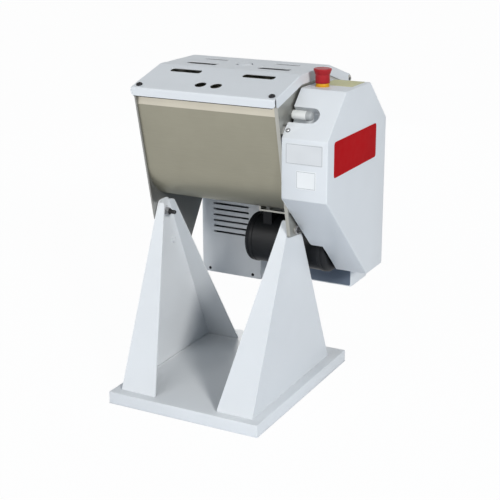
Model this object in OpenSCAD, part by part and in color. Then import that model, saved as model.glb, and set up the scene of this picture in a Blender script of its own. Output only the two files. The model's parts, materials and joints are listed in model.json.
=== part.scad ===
// Tilting bowl dough mixer on a two-legged stand.
// X runs to the right along the pivot, Y to the back, Z up. Origin: middle of the base's underside.

/* [Base] */
// Width of the base tray
base_w = 400; // [380:1:440]
// Depth of the base tray
base_d = 496; // [470:1:540]
// Height of the base tray
base_h = 30; // [20:1:40]
// Sheet of the base tray
base_sheet = 2; // [1.5:0.5:3]
// Width of the stiffening channel under the tray
stiffener_w = 60; // [40:1:80]

/* [Supports] */
// Distance between the outer faces of the two supports
sup_span = 354; // [340:1:366]
// Sheet of the supports
sup_sheet = 3; // [2:0.5:4]
// Depth of a support at its foot
sup_foot = 416; // [390:1:430]
// Radius of the rounded head round the pivot
sup_head_r = 32; // [28:1:34]
// Flange width at the foot
flange_foot = 94; // [70:1:110]
// Flange width at the head
flange_head = 18; // [14:1:26]

/* [Pivot] */
// Height of the pivot above the floor
pivot_z = 425; // [415:1:440]
// Place of the pivot along the depth
pivot_y = -19; // [-24:1:-14]
// Diameter of the pivot bolts
bolt_d = 10; // [8:1:10]
// Width of the pivot nuts across flats
nut_af = 17; // [16:0.5:17]
// Radial clearance where a piece turns on a pin or shaft
run_gap = 0.05; // [0.02:0.01:0.09]

/* [Bowl] */
// Outside radius of the bowl's round bottom
bowl_r = 113; // [109:1:115]
// Place of the bowl's axis along the depth
bowl_y = 30; // [26:1:34]
// Height of the bowl's axis
bowl_z = 574; // [570:1:578]
// Sheet of the bowl
bowl_sheet = 2; // [1.5:0.5:3]
// Lean of the front wall from upright, degrees
front_lean = 12.35; // [11:0.05:13.5]
// Lean of the rear wall from upright, degrees
rear_lean = 29; // [27:0.5:30]
// Height of the fold under the bright rim band
rim_fold_z = 705; // [700:1:712]
// Height of the rim
rim_z = 735; // [733:1:738]
// Width of the rim flange
rim_flange = 12; // [8:1:13]
// Thickness of the end plates
plate_t = 4; // [3:0.5:5]
// Free space between an end plate and its support
plate_gap = 1; // [0.5:0.1:2]

/* [Lid] */
// Sheet of the lid
lid_sheet = 1.5; // [1:0.5:2]
// Depth of the side skirts
skirt_h = 23; // [19:1:26]
// Free space between skirt and end plate
skirt_gap = 1.5; // [1:0.1:2]
// Height of the lid's flat top
lid_top_z = 782; // [776:1:788]
// Length of the front vent slots
slot_l = 82; // [60:1:90]
// Width of the vent slots
slot_w = 13; // [8:1:16]
// Diameter of the pouring holes
pour_d = 27; // [20:1:32]
// Diameter of the hinge rod
rod_d = 8; // [6:1:10]

/* [Drive cover] */
// Width of the drive cover
cover_w = 110; // [104:1:116]
// Sheet of the drive cover
cover_sheet = 2; // [1.5:0.5:2.5]
// Height of the cover's flat top
cover_top_z = 753; // [750:1:756]
// Width of the grip pocket
pocket_w = 42; // [36:1:46]
// Depth of the grip pocket
pocket_h = 22; // [18:1:23]
// Diameter of the grip
grip_d = 21; // [16:1:24]

/* [Drive] */
// Gear module
gear_m = 5; // [4.8:0.1:5]
// Teeth of the main gear
main_teeth = 48; // [46:1:48]
// Teeth of the pinion
pinion_teeth = 12; // [11:1:13]
// Diameter of the agitator shaft
shaft_d = 25; // [20:1:28]
// Sweep radius of the agitator
sweep_r = 103; // [96:1:104]
// Diameter of the agitator bars
bar_d = 16; // [12:1:18]
// Diameter of the large pulley
pulley_big_d = 176; // [160:1:178]
// Diameter of the motor pulley
pulley_small_d = 48; // [44:1:56]
// Diameter of the motor
motor_d = 125; // [118:1:126]
// Length of the motor
motor_l = 214; // [190:1:216]
// Place of the motor's axis along the depth
motor_y = 140; // [139:1:144]
// Height of the motor's axis
motor_z = 343; // [340:1:344]

/* [Rear casing] */
// Height of the casing's underside
casing_z = 210; // [200:1:225]
// Place of the casing's back
casing_back = 335; // [310:1:350]
// Number of louvre slots
louvre_n = 6; // [3:1:8]
// Spacing of the louvre slots
louvre_pitch = 15.1; // [13:0.1:16]

/* [Emergency stop] */
// Diameter of the mushroom head
estop_d = 41; // [36:1:42]
// Travel of the mushroom head
estop_travel = 5; // [3:0.5:5]

/* [Hidden] */
$fn = 48;
eps = 0.01;
sink = 0.002;        // straight walls start this far inside the arc that they touch
seat_gap = 0.3;      // between moving bodies that only just miss each other
bend_steps = 3;      // flats in each sheet bend
bend_r = 3;          // inside radius of the sheet bends

paint = [0.86, 0.88, 0.89];
steel = [0.62, 0.61, 0.56];
zinc = [0.72, 0.73, 0.74];
black = [0.08, 0.08, 0.09];
nylon = [0.90, 0.90, 0.87];

// Planes along X
sup_x = sup_span / 2;
plate_in = sup_x + plate_gap;
plate_out = plate_in + plate_t;
lid_x = plate_out + skirt_gap + lid_sheet;
cover_x0 = lid_x + 2;
cover_x1 = cover_x0 + cover_w;
cover_step_x = cover_x0 + 31;
casing_x0 = -plate_out - 2;
casing_x1 = cover_step_x - 0.5;

// Pivot hardware
pivot = [pivot_y, pivot_z];
bolt_r = bolt_d / 2;
nut_h = 9;
nut_r = nut_af / 2 / cos(30);
washer_t = 2;
stud_len = 21;

// Bowl axis and the tangent points of its leaning walls
bowl = [bowl_y, bowl_z];
function front_touch(r) = bowl + r * [-cos(front_lean), -sin(front_lean)];
function rear_touch(r) = bowl + r * [cos(rear_lean), -sin(rear_lean)];
function front_at(r, z) = [front_touch(r)[0] - (z - front_touch(r)[1]) * tan(front_lean), z];
function rear_at(r, z) = [rear_touch(r)[0] + (z - rear_touch(r)[1]) * tan(rear_lean), z];
bowl_in = bowl_r - bowl_sheet;
plate_edge = 4;      // end plates stand out this far round the bowl

// Motor
motor = [motor_y, motor_z];
motor_r = motor_d / 2;
motor_x1 = cover_step_x - 6;
motor_x0 = motor_x1 - motor_l;

// Casing planes, the casing's front just behind the bowl's rear wall
casing_sheet = 2;
casing_top_z = rim_z - 37;
casing_low_top = casing_top_z - 58;
casing_y = rear_at(bowl_r, casing_top_z)[0] + 8.06;
louvre_y = casing_y - 55;
louvre_x1 = motor_x0 - 10;
louvre_top = motor_z + 77;
louvre_l = 103;
louvre_w = 5;
louvre_drop = 21.5;  // top slot below the box's top

// End plate outline
plate_front_z = pivot_z - 10;
plate_low_z = pivot_z - 17.5;
tail_lean = 34.3;
tail_back = [bowl_y + 141, plate_low_z];
tail_tip = pivot + [122, -119];
tail_toe = pivot + [107, -125];
tail_heel = pivot + [-26, -27];

// Lid profile and hinge
lid_front = front_at(bowl_r, rim_fold_z)[0] - rim_flange - 5.6;
lid_lip_z = rim_z + 11;
lid_lip_h = 19;
lid_bend1 = bowl_y - 31;
lid_bend2 = bowl_y + 124;
lid_rear = [rear_at(bowl_r, rim_z)[0] + rim_flange + 11.56, rim_z + 9.5];
rod = [lid_rear[0] + 7, lid_rear[1] - 13.5];
rod_r = rod_d / 2;
ear_r = 12;
lid_outline = [[lid_front, lid_lip_z - lid_lip_h], [lid_front, lid_lip_z], [lid_bend1, lid_top_z],
    [lid_bend2, lid_top_z], lid_rear, [lid_rear[0], lid_rear[1] - 20]];
lid_slope = atan2(lid_top_z - lid_lip_z, lid_bend1 - lid_front);
foot_y = front_at(bowl_r, rim_fold_z)[0] - 3;
foot_x = lid_x - 15;

// Drive cover profile, corner by corner from the top front, wrapped round the main gear
main_gear_r = gear_m * (main_teeth / 2 + 0.8);
cover_front = bowl_y - main_gear_r - 9;
cover_low = motor_z - pulley_small_d / 2 - 32;
under_slope = 44.04;
under_r = main_gear_r + 6.56;
cover_a = [bowl_y - 36, cover_top_z];
cover_b = [cover_front, cover_top_z - 94.5];
cover_c = [cover_front,
    bowl_z - (under_r - (bowl_y - cover_front) * sin(under_slope)) / cos(under_slope)];
cover_d = [cover_front + (cover_c[1] - cover_low) / tan(under_slope), cover_low];
cover_e = [casing_y, cover_low];
cover_f = [casing_y, cover_top_z - 98];
cover_g = [casing_y - 103, cover_top_z];
cover_outline = [cover_a, cover_b, cover_c, cover_d, cover_e, cover_f, cover_g];
cover_step_y = pivot_y + 73.5;
cover_slope = atan2(cover_a[1] - cover_b[1], cover_a[0] - cover_b[0]);
grip_u = 63.5;       // grip centre up the slope from the front fold
grip_x1 = cover_x0 + 53;
pocket_x1 = cover_x0 + 69;

// Drive train
centre_dist = gear_m * (main_teeth + pinion_teeth) / 2;
lay_angle = -48;
lay = bowl + centre_dist * [cos(lay_angle), sin(lay_angle)];
shaft_r = shaft_d / 2;
lay_r = 10;
motor_shaft_r = 9.5;
housing_x1 = plate_out + 14;
gear_x0 = housing_x1 + 4;
gear_w = 20;
pulley_x0 = gear_x0 + gear_w + 18;
pulley_w = 20;
belt_h = 8;
bell_l = 14;
shell_step = 1.5;    // the barrel between the motor's end rings is this much slimmer
bracket_z = motor_z + motor_r + 20.5;
bracket_t = 4;
bracket_x0 = motor_x0 + 35;
bracket_y = [motor_y - 55, motor_y + 55];

// Agitator
bar_r = bar_d / 2;
bar_orbit = sweep_r - bar_r;
blade_x = plate_in - 28;
blade_twist = 150;
blade_rings = 20;
blade_sides = 10;

// Emergency stop
estop_x = cover_x0 + 33;
estop_y = bowl_y + 5;
collar_h = 7.5;
neck_r = 15;
head_h = 17;
estop_h = 35.5;

// Helpers

// Unit vector and left normal of a step
function dir(a, b) = (b - a) / norm(b - a);
function left(v) = [-v[1], v[0]];

// Point i of an open line moved t to its left, with mitred corners
function miter(p, i, t) =
    i == 0 ? p[0] + t * left(dir(p[0], p[1])) :
    i == len(p) - 1 ? p[i] + t * left(dir(p[i - 1], p[i])) :
    let (a = left(dir(p[i - 1], p[i])), b = left(dir(p[i], p[i + 1])))
    p[i] + t * (a + b) / (1 + a * b);

// Point i of a closed outline moved t to its left
function ring_miter(p, i, t) =
    let (n = len(p), q = p[(i + n - 1) % n], r = p[(i + 1) % n],
         a = left(dir(q, p[i])), b = left(dir(p[i], r)))
    p[i] + t * (a + b) / (1 + a * b);
function inset(p, t) = [for (i = [0:len(p) - 1]) ring_miter(p, i, t)];

// Closed outline with corner i rounded to radius r[i]
function fillet(p, r) = [for (i = [0:len(p) - 1])
    let (n = len(p), q = p[(i + n - 1) % n], s = p[(i + 1) % n],
         u = dir(p[i], q), v = dir(p[i], s), half = acos(max(-1, min(1, u * v))) / 2)
    each (r[i] == 0 || half > 89 ? [p[i]] :
        let (c = p[i] + (u + v) / norm(u + v) * r[i] / sin(half),
             start = p[i] + u * r[i] / tan(half) - c,
             a0 = atan2(start[1], start[0]),
             turn = -sign(cross(u, v)) * (180 - 2 * half) / bend_steps)
        [for (k = [0:bend_steps]) c + r[i] * [cos(a0 + turn * k), sin(a0 + turn * k)]])];

// Folded sheet: an open line given thickness t to its left, bends rounded
function turn_at(p, i) = cross(dir(p[i - 1], p[i]), dir(p[i], p[i + 1]));
function sheet(p, t) =
    let (n = len(p),
         r = [for (i = [0:n - 1]) i == 0 || i == n - 1 ? 0 : turn_at(p, i) > 0 ? bend_r + t : bend_r],
         s = [for (i = [0:n - 1]) i == 0 || i == n - 1 ? 0 : turn_at(p, i) > 0 ? bend_r : bend_r + t])
    fillet(concat(p, [for (i = [n - 1:-1:0]) miter(p, i, t)]), concat(r, [for (i = [n - 1:-1:0]) s[i]]));

// A (Y, Z) outline pulled along X
module along_x(x0, x1) {
    translate([x0, 0, 0]) rotate([90, 0, 90]) linear_extrude(x1 - x0) children();
}
// An (X, Z) outline pulled along Y
module along_y(y0, y1) {
    translate([0, y1, 0]) rotate([90, 0, 0]) linear_extrude(y1 - y0) children();
}
module rod_x(x0, x1, r, at) {
    translate([x0, at[0], at[1]]) rotate([0, 90, 0]) cylinder(h = x1 - x0, r = r);
}
module hex_x(x0, x1, r, at) {
    translate([x0, at[0], at[1]]) rotate([0, 90, 0]) cylinder(h = x1 - x0, r = r, $fn = 6);
}
module spot(at, r) {
    translate(at) circle(r);
}
module block(lo, hi) {
    translate(lo) cube(hi - lo);
}

// Stand

module base_tray() {
    color(paint) difference() {
        block([-base_w / 2, -base_d / 2, 0], [base_w / 2, base_d / 2, base_h]);
        block([-base_w / 2 + base_sheet, -base_d / 2 + base_sheet, -1],
            [base_w / 2 - base_sheet, base_d / 2 - base_sheet, base_h - base_sheet]);
    }
}

// Channel across the tray, welded under its top, open upwards
module base_stiffener() {
    x = base_w / 2 - base_sheet;
    color(paint) difference() {
        block([-x, -stiffener_w / 2, 0], [x, stiffener_w / 2, base_h - base_sheet]);
        block([-x - 1, -stiffener_w / 2 + base_sheet, base_sheet],
            [x + 1, stiffener_w / 2 - base_sheet, base_h]);
    }
}

// Support outline: foot corners and the lines that touch the round head
foot_half = sup_foot / 2;
sup_rise = pivot_z - base_h;
sup_reach = norm([foot_half, sup_rise]);
head_touch = sup_head_r - sink;
flange_relief = 3;   // the flanges stop this far short of the round head
side_angle = atan2(sup_rise, foot_half) + asin(head_touch / sup_reach);
side_len = sqrt(sup_reach * sup_reach - head_touch * head_touch);
function side_point(s, d) =
    [pivot_y + s * (foot_half - d * cos(side_angle)), base_h + d * sin(side_angle)];

// One bent flange, s = -1 for the front, 1 for the back, on a support facing +X from x = 0
module flange(s) {
    end = side_point(s, side_len - flange_relief);
    strip = [side_point(s, 0), end, end - sup_sheet * [s * sin(side_angle), cos(side_angle)],
        side_point(s, 0) - [s * sup_sheet / sin(side_angle), 0]];
    head_z = end[1];
    intersection() {
        along_x(0, flange_foot) polygon(strip);
        along_y(-base_d, base_d)
            polygon([[0, base_h], [flange_foot, base_h], [flange_head, head_z], [0, head_z]]);
    }
}

module support_sheet() {
    difference() {
        union() {
            along_x(0, sup_sheet) union() {
                polygon([side_point(-1, 0), side_point(-1, side_len), side_point(1, side_len),
                    side_point(1, 0)]);
                spot(pivot, sup_head_r);
            }
            flange(-1);
            flange(1);
        }
        rod_x(-1, sup_sheet + 1, bolt_r + run_gap, pivot);
    }
}

// Stop bumper: under the tail of the left end plate, clear of its heel
stop_r = 8;
stop_out = 85;
tail_dir = dir(tail_heel, tail_toe);
stop_at = tail_heel + stop_out * tail_dir + (stop_r + seat_gap) * [tail_dir[1], -tail_dir[0]];
stop_bolt_r = 4;

module left_support() {
    color(paint) difference() {
        translate([-sup_x, 0, 0]) support_sheet();
        rod_x(-sup_x - 1, -sup_x + sup_sheet + 1, stop_bolt_r, stop_at);
    }
}

module right_support() {
    color(paint) mirror([1, 0, 0]) translate([-sup_x, 0, 0]) support_sheet();
}

// Both pivot bolts point to +X
module left_pivot_bolt() {
    color(zinc) union() {
        hex_x(-plate_out - seat_gap - 7, -plate_out - seat_gap, nut_r, pivot);
        rod_x(-plate_out - seat_gap - 1, -sup_x + sup_sheet + washer_t + nut_h + stud_len, bolt_r, pivot);
    }
}

module left_pivot_washer() {
    x = -sup_x + sup_sheet;
    color(zinc) difference() {
        block([x, pivot_y - 11, pivot_z - 11], [x + washer_t, pivot_y + 11, pivot_z + 11]);
        rod_x(x - 1, x + washer_t + 1, bolt_r + run_gap, pivot);
    }
}

module left_pivot_nut() {
    x = -sup_x + sup_sheet + washer_t;
    color(zinc) difference() {
        hex_x(x, x + nut_h, nut_r, pivot);
        rod_x(x - 1, x + nut_h + 1, bolt_r, pivot);
    }
}

module right_pivot_bolt() {
    color(zinc) union() {
        hex_x(sup_x - sup_sheet - 7, sup_x - sup_sheet, nut_r, pivot);
        rod_x(sup_x - sup_sheet - 1, plate_out + seat_gap + nut_h + 3, bolt_r, pivot);
    }
}

module right_pivot_nut() {
    color(zinc) difference() {
        hex_x(plate_out + seat_gap, plate_out + seat_gap + nut_h, nut_r, pivot);
        rod_x(plate_out, plate_out + nut_h + 2, bolt_r, pivot);
    }
}

// Rubber bumper outside the left support, held by a bolt and nut
module tilt_stop() {
    x1 = -sup_x + sup_sheet;
    color(black) union() {
        rod_x(-plate_out - 3, -sup_x, stop_r, stop_at);
        rod_x(-sup_x - 1, x1 + 1, stop_bolt_r, stop_at);
        hex_x(x1, x1 + 6, 7.5, stop_at);
    }
}

// Bowl

module end_plate(tail) {
    front = bowl_r + plate_edge;
    back_rise = (casing_y - tail_back[0]) / tan(tail_lean);
    body = concat([front_at(front, rim_z), front_at(front, plate_front_z)],
        tail ? [tail_heel, tail_toe, tail_tip] : [[pivot_y + 31.5, plate_low_z]],
        [tail_back, [casing_y, tail_back[1] + back_rise], [casing_y, casing_top_z + 3],
            rod + [-8, -ear_r], rod + [0, -ear_r], rod + [ear_r, 0], rod + [0, ear_r], rod + [-13, 4],
            [rod[0] - 18, rim_z]]);
    corner = concat([6, 8], tail ? [6, 6, 6] : [6], [0, 10, 6, 4, ear_r / 3, ear_r / 3, ear_r / 3, 3, 3]);
    difference() {
        polygon(fillet(body, corner));
        spot(pivot, bolt_r + run_gap);
        spot(rod, rod_r);
        spot(bowl, shaft_r + 2);
    }
}

module left_end_plate() {
    color(steel) along_x(-plate_out, -plate_in) end_plate(true);
}

module right_end_plate() {
    color(steel) along_x(plate_in, plate_out) difference() {
        end_plate(false);
        spot(lay, lay_r + 2);
    }
}

module bowl_section(r, high) {
    wall = r - sink;
    spot(bowl, r);
    polygon([front_touch(wall), bowl, rear_touch(wall), rear_at(wall, high),
        [front_at(wall, rim_fold_z)[0], high], front_at(wall, rim_fold_z)]);
}

// Rolled shell with an upright rim band in front and a flange along each rim
module trough_shell() {
    front = front_at(bowl_r, rim_fold_z)[0];
    rear = rear_at(bowl_r, rim_z)[0];
    color(steel) along_x(-plate_in, plate_in) union() {
        difference() {
            bowl_section(bowl_r, rim_z);
            bowl_section(bowl_in, rim_z + 1);
        }
        polygon([[front - rim_flange, rim_z - bowl_sheet], [front + bowl_sheet, rim_z - bowl_sheet],
            [front + bowl_sheet, rim_z], [front - rim_flange, rim_z]]);
        polygon([[rear - bowl_sheet, rim_z - bowl_sheet], [rear + rim_flange, rim_z - bowl_sheet],
            [rear + rim_flange, rim_z], [rear - bowl_sheet, rim_z]]);
    }
}

bush_r = shaft_r + 6;
housing_r = bush_r + 7.5;
housing_flange_r = housing_r + 8;
housing_flange_t = 5;
module bearing_housing(x0, x1) {
    difference() {
        union() {
            rod_x(x0, x0 + housing_flange_t, housing_flange_r, bowl);
            rod_x(x0, x1, housing_r, bowl);
        }
        rod_x(x0 - 1, x1 + 1, bush_r, bowl);
        for (a = [45:90:315])
            rod_x(x0 - 1, x1 + 1, 2.5, bowl + (housing_r + 4) * [cos(a), sin(a)]);
    }
}

module left_bearing_housing() {
    color(zinc) mirror([1, 0, 0]) bearing_housing(plate_out, housing_x1);
}

module right_bearing_housing() {
    color(zinc) bearing_housing(plate_out, housing_x1);
}

module tube_x(x0, x1, r_out, r_in, at) {
    difference() {
        rod_x(x0, x1, r_out, at);
        rod_x(x0 - 1, x1 + 1, r_in, at);
    }
}

module shaft_bushes() {
    color([0.75, 0.55, 0.25]) {
        tube_x(plate_out, housing_x1, bush_r, shaft_r + run_gap, bowl);
        tube_x(-housing_x1, -plate_out, bush_r, shaft_r + run_gap, bowl);
    }
}

seal_t = 6;
module shaft_seals() {
    color(black) {
        tube_x(plate_in - seal_t, plate_in, bush_r + 2, shaft_r + run_gap, bowl);
        tube_x(-plate_in, -plate_in + seal_t, bush_r + 2, shaft_r + run_gap, bowl);
    }
}

module lid_hinge_rod() {
    color(zinc) rod_x(-plate_out - 1, plate_out + 1, rod_r, rod);
}

// Rear casing

box_mid = (casing_x0 + louvre_x1) / 2;
box_gap_x = [casing_x0 + 20, louvre_x1 - 20];
casing_side = [[casing_y, casing_z], [casing_back, casing_z], [casing_back, casing_low_top],
    [casing_y, casing_top_z]];

// Closed box behind the bowl, its front open where the louvred box joins it
module rear_casing() {
    t = casing_sheet;
    color(paint) difference() {
        along_x(casing_x0, casing_x1) polygon(casing_side);
        along_x(casing_x0 + t, casing_x1 - t) polygon(inset(casing_side, t));
        block([box_gap_x[0], casing_y - 1, casing_z + 15],
            [box_gap_x[1], casing_y + t + 1, louvre_top - 15]);
        translate([gland_at[0], casing_back + 1, gland_at[1]]) rotate([90, 0, 0])
            cylinder(h = casing_sheet + 2, r = gland_r);
    }
}

gland_r = 8;
gland_at = [40, casing_z + 60];

// Box with louvres: front, sides, top and bottom, open at the back
module louvre_box() {
    t = casing_sheet;
    x0 = box_mid - (louvre_l - louvre_w) / 2;
    x1 = box_mid + (louvre_l - louvre_w) / 2;
    color(paint) difference() {
        block([casing_x0, louvre_y, casing_z], [louvre_x1, casing_y, louvre_top]);
        block([casing_x0 + t, louvre_y + t, casing_z + t], [louvre_x1 - t, casing_y + 1, louvre_top - t]);
        for (i = [0:louvre_n - 1])
            along_y(louvre_y - 1, louvre_y + t + 1) {
                z = louvre_top - louvre_drop - i * louvre_pitch;
                spot([x0, z], louvre_w / 2);
                spot([x1, z], louvre_w / 2);
                translate([x0, z - louvre_w / 2]) square([x1 - x0, louvre_w]);
            }
        for (x = box_screw_x)
            translate([x, louvre_y + t + 1, box_screw_z]) rotate([90, 0, 0]) cylinder(h = t + 2, r = 2);
    }
}

box_screw_x = [casing_x0 + 22, louvre_x1 - 24];
box_screw_z = casing_z + 10;
module pan_screw_y(at, shank) {
    translate(at) rotate([90, 0, 0]) cylinder(h = 2.5, r1 = 4, r2 = 2.6);
    translate(at + [0, shank, 0]) rotate([90, 0, 0]) cylinder(h = shank + 1, r = 2);
}

module casing_screws() {
    color(zinc) for (x = box_screw_x) pan_screw_y([x, louvre_y, box_screw_z], 8);
}

// Contactor on a plate across the opening between the louvred box and the casing
contactor_z = casing_z + 125;
contactor_size = [48, 70];
module contactor() {
    plate = casing_y - 3;
    half = contactor_size / 2;
    color([0.3, 0.32, 0.34]) union() {
        block([box_gap_x[0] - 8, plate, contactor_z - half[1] - 10],
            [box_gap_x[1] + 8, casing_y, contactor_z + half[1] + 10]);
        block([box_mid - half[0], louvre_y + 12, contactor_z - half[1]],
            [box_mid + half[0], plate + eps, contactor_z + half[1]]);
    }
}

module cable_gland() {
    color(black) translate([gland_at[0], 0, gland_at[1]]) difference() {
        union() {
            translate([0, casing_back + 6, 0]) rotate([90, 0, 0]) cylinder(h = 6, r = 12, $fn = 6);
            translate([0, casing_back + 18, 0]) rotate([90, 0, 0]) cylinder(h = 13, r = 9);
            translate([0, casing_back + 1, 0]) rotate([90, 0, 0]) cylinder(h = casing_sheet + 6, r = gland_r);
            translate([0, casing_back - casing_sheet, 0]) rotate([90, 0, 0]) cylinder(h = 5, r = 11, $fn = 6);
        }
        translate([0, casing_back + 20, 0]) rotate([90, 0, 0]) cylinder(h = 40, r = 4);
    }
}

// Drive cover

module on_slope() {
    translate([0, cover_b[0], cover_b[1]]) rotate([cover_slope, 0, 0]) children();
}

// Slot outline of the grip notch, in slope coordinates
module notch(grow, x0) {
    r = pocket_w / 2 + grow;
    translate([pocket_x1 - pocket_w / 2, grip_u]) circle(r);
    translate([x0, grip_u - r]) square([pocket_x1 - pocket_w / 2 - x0, 2 * r]);
}

module drive_cover() {
    t = cover_sheet;
    shape = fillet(cover_outline, [for (p = cover_outline) bend_r + t]);
    hollow = fillet(inset(cover_outline, t), [for (p = cover_outline) bend_r]);
    color(paint) difference() {
        along_x(cover_x0, cover_x1) polygon(shape);
        along_x(cover_x0 - 1, cover_x1 - t) polygon(hollow);
        block([cover_x0 - 1, cover_step_y, cover_d[1] - 20], [cover_step_x, casing_y + 1, plate_low_z]);
        on_slope() translate([0, 0, -4 * t]) linear_extrude(5 * t) notch(0, cover_x0 - 1);
        on_slope() translate([screw_x, screw_u, -4 * t]) cylinder(h = 5 * t, r = 2.5);
        translate([estop_x, estop_y, cover_top_z - 2 * t]) cylinder(h = 3 * t, r = 11);
    }
}

screw_x = cover_x0 + 7.5;
screw_u = 21;

module grip_pocket() {
    t = cover_sheet;
    color(paint) on_slope() difference() {
        translate([0, 0, -pocket_h - t]) linear_extrude(pocket_h) notch(t, cover_x0);
        translate([0, 0, -pocket_h]) linear_extrude(pocket_h + 1) notch(0, cover_x0 - 1);
    }
}

grip_r = grip_d / 2;
cap_l = 14;
module tilt_grip() {
    color(nylon) on_slope() translate([plate_out, grip_u, 0]) rotate([0, 90, 0])
        cylinder(h = grip_x1 - cap_l - plate_out, r = grip_r);
}

module grip_end_cap() {
    edge = cap_l * 0.4;
    color([0.7, 0.71, 0.72]) on_slope() translate([grip_x1 - cap_l, grip_u, 0]) rotate([90, 0, 90])
        rotate_extrude() union() {
            square([grip_r, cap_l - edge]);
            square([grip_r - edge, cap_l]);
            intersection() {
                translate([grip_r - edge, cap_l - edge]) circle(r = edge);
                square([grip_r, cap_l]);
            }
        }
}

// Tabs on the end plate that carry the cover: foot on the plate, leg behind the cover sheet
module cover_tab(at, angle) {
    t = 2;
    translate([0, at[0], at[1]]) rotate([angle, 0, 0]) {
        block([plate_out, -10, -cover_sheet - 14], [plate_out + t, 10, -cover_sheet]);
        block([plate_out, -10, -cover_sheet - t], [plate_out + 18, 10, -cover_sheet]);
    }
}

module cover_brackets() {
    color(zinc) {
        difference() {
            cover_tab(cover_b + screw_u * [cos(cover_slope), sin(cover_slope)], cover_slope);
            on_slope() translate([screw_x, screw_u, -12]) cylinder(h = 14, r = 2);
        }
        cover_tab(cover_c + 62 * [cos(under_slope), -sin(under_slope)], 180 - under_slope);
        cover_tab(cover_a + [70, 0], 0);
    }
}

module cover_screws() {
    color(zinc) on_slope() translate([screw_x, screw_u, 0]) union() {
        cylinder(h = 2.4, r1 = 4.2, r2 = 3);
        translate([0, 0, -8]) cylinder(h = 9, r = 2);
    }
}

// Emergency stop

module estop_collar() {
    color([0.95, 0.75, 0.1]) translate([estop_x, estop_y, cover_top_z]) difference() {
        cylinder(h = collar_h, r = neck_r + 1.8);
        translate([0, 0, -1]) cylinder(h = collar_h + 2, r = neck_r + seat_gap);
    }
}

// Threaded body and contact block under the cover's top
module estop_body() {
    color([0.25, 0.25, 0.27]) translate([estop_x, estop_y, 0]) difference() {
        union() {
            translate([0, 0, cover_top_z - 10]) cylinder(h = 10, r = 10.5);
            block([-15, -20, cover_top_z - 40], [15, 20, cover_top_z - 9]);
        }
        translate([0, 0, cover_top_z - 20]) cylinder(h = 30, r = 5 + run_gap);
    }
}

module estop_plunger() {
    color([0.3, 0.3, 0.3]) translate([estop_x, estop_y, 0])
        translate([0, 0, cover_top_z - 12]) cylinder(h = 12 + estop_h - 6, r = 5);
}

module estop_head() {
    z0 = estop_travel + 1.5;
    color([0.75, 0.08, 0.08]) translate([estop_x, estop_y, cover_top_z]) difference() {
        rotate_extrude() polygon([[0, z0], [neck_r, z0], [neck_r, estop_h - head_h],
            [estop_d / 2 - 1.5, estop_h - 7], [estop_d / 2, estop_h - 5], [estop_d / 2, estop_h - 3],
            [estop_d / 2 - 2, estop_h - 1], [estop_d / 2 - 7, estop_h], [0, estop_h]]);
        translate([0, 0, z0 - 1]) cylinder(h = estop_h - 6 - z0 + 1 + seat_gap, r = 5 + run_gap);
    }
}

// Motor

module motor_housing() {
    color(black) difference() {
        union() {
            rod_x(motor_x0 + bell_l, motor_x1 - bell_l, motor_r - shell_step, motor);
            for (x = [motor_x0 + bell_l, motor_x1 - bell_l - 8])
                rod_x(x, x + 8, motor_r, motor);
        }
        rod_x(motor_x0, motor_x1, motor_r - 22.5, motor);
    }
}

// Rotor chamber walls: one bell at each end, bored for the shaft
module bell(x0, x1) {
    difference() {
        translate([x0, motor[0], motor[1]]) rotate([0, 90, 0]) rotate_extrude()
            polygon([[0, 0], [motor_r, 0], [motor_r, bell_l * 0.5], [motor_r - 8, bell_l], [0, bell_l]]);
        rod_x(x0 - 1, x1 + 1, motor_shaft_r + run_gap, motor);
    }
}

module motor_front_bell() {
    color(black) bell(motor_x1 - bell_l, motor_x1);
}

module motor_rear_bell() {
    color(black) translate([2 * motor_x0 + bell_l, 0, 0]) mirror([1, 0, 0])
        bell(motor_x0, motor_x0 + bell_l);
}

module motor_shaft() {
    color(zinc) union() {
        rod_x(motor_x0 + 4, pulley_x0 + pulley_w + 4, motor_shaft_r, motor);
        rod_x(motor_x0 + motor_l * 0.28, motor_x1 - motor_l * 0.23, motor_r - 24.5, motor);
    }
}

fan_w = 24;
fan_hub_r = 16;
module motor_fan() {
    color([0.2, 0.2, 0.2]) difference() {
        union() {
            rod_x(motor_x0 + bell_l + 6, motor_x0 + bell_l + 6 + fan_w, fan_hub_r, motor);
            for (a = [0:45:315])
                translate([motor_x0 + bell_l + 6, motor[0], motor[1]]) rotate([a, 0, 0])
                    translate([0, fan_hub_r - 2, -1]) cube([fan_w, motor_r - 26.5 - fan_hub_r + 2, 2]);
        }
        rod_x(motor_x0, motor_x1, motor_shaft_r, motor);
    }
}

foot_span = [motor_x0 + 50, motor_x1 - 50];
foot_w = 24;
foot_half_y = 40;
module motor_feet() {
    color(black) difference() {
        for (x = foot_span)
            block([x - foot_w / 2, motor_y - foot_half_y, motor_z + motor_r - 17.5],
                [x + foot_w / 2, motor_y + foot_half_y, bracket_z]);
        rod_x(motor_x0, motor_x1, motor_r - shell_step + run_gap, motor);
    }
}

module motor_bracket() {
    color(steel) difference() {
        union() {
            block([bracket_x0, bracket_y[0], bracket_z], [plate_in, bracket_y[1], bracket_z + bracket_t]);
            block([plate_in - bracket_t, bracket_y[0], bracket_z], [plate_in, bracket_y[1], bracket_z + 30]);
            block([bracket_x0, bracket_y[0], bracket_z],
                [bracket_x0 + bracket_t, bracket_y[1], bracket_z + 12]);
        }
        motor_bolt_spots() cylinder(h = 40, r = 4.5, center = true);
    }
}

module motor_bolt_spots() {
    for (x = foot_span, y = [motor_y - 30, motor_y + 30]) translate([x, y, bracket_z]) children();
}

module motor_bolts() {
    color(zinc) motor_bolt_spots() union() {
        translate([0, 0, bracket_t]) cylinder(h = 5, r = 7.5, $fn = 6);
        cylinder(h = bracket_t + 1, r = 4);
    }
}

// Drive train

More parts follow.
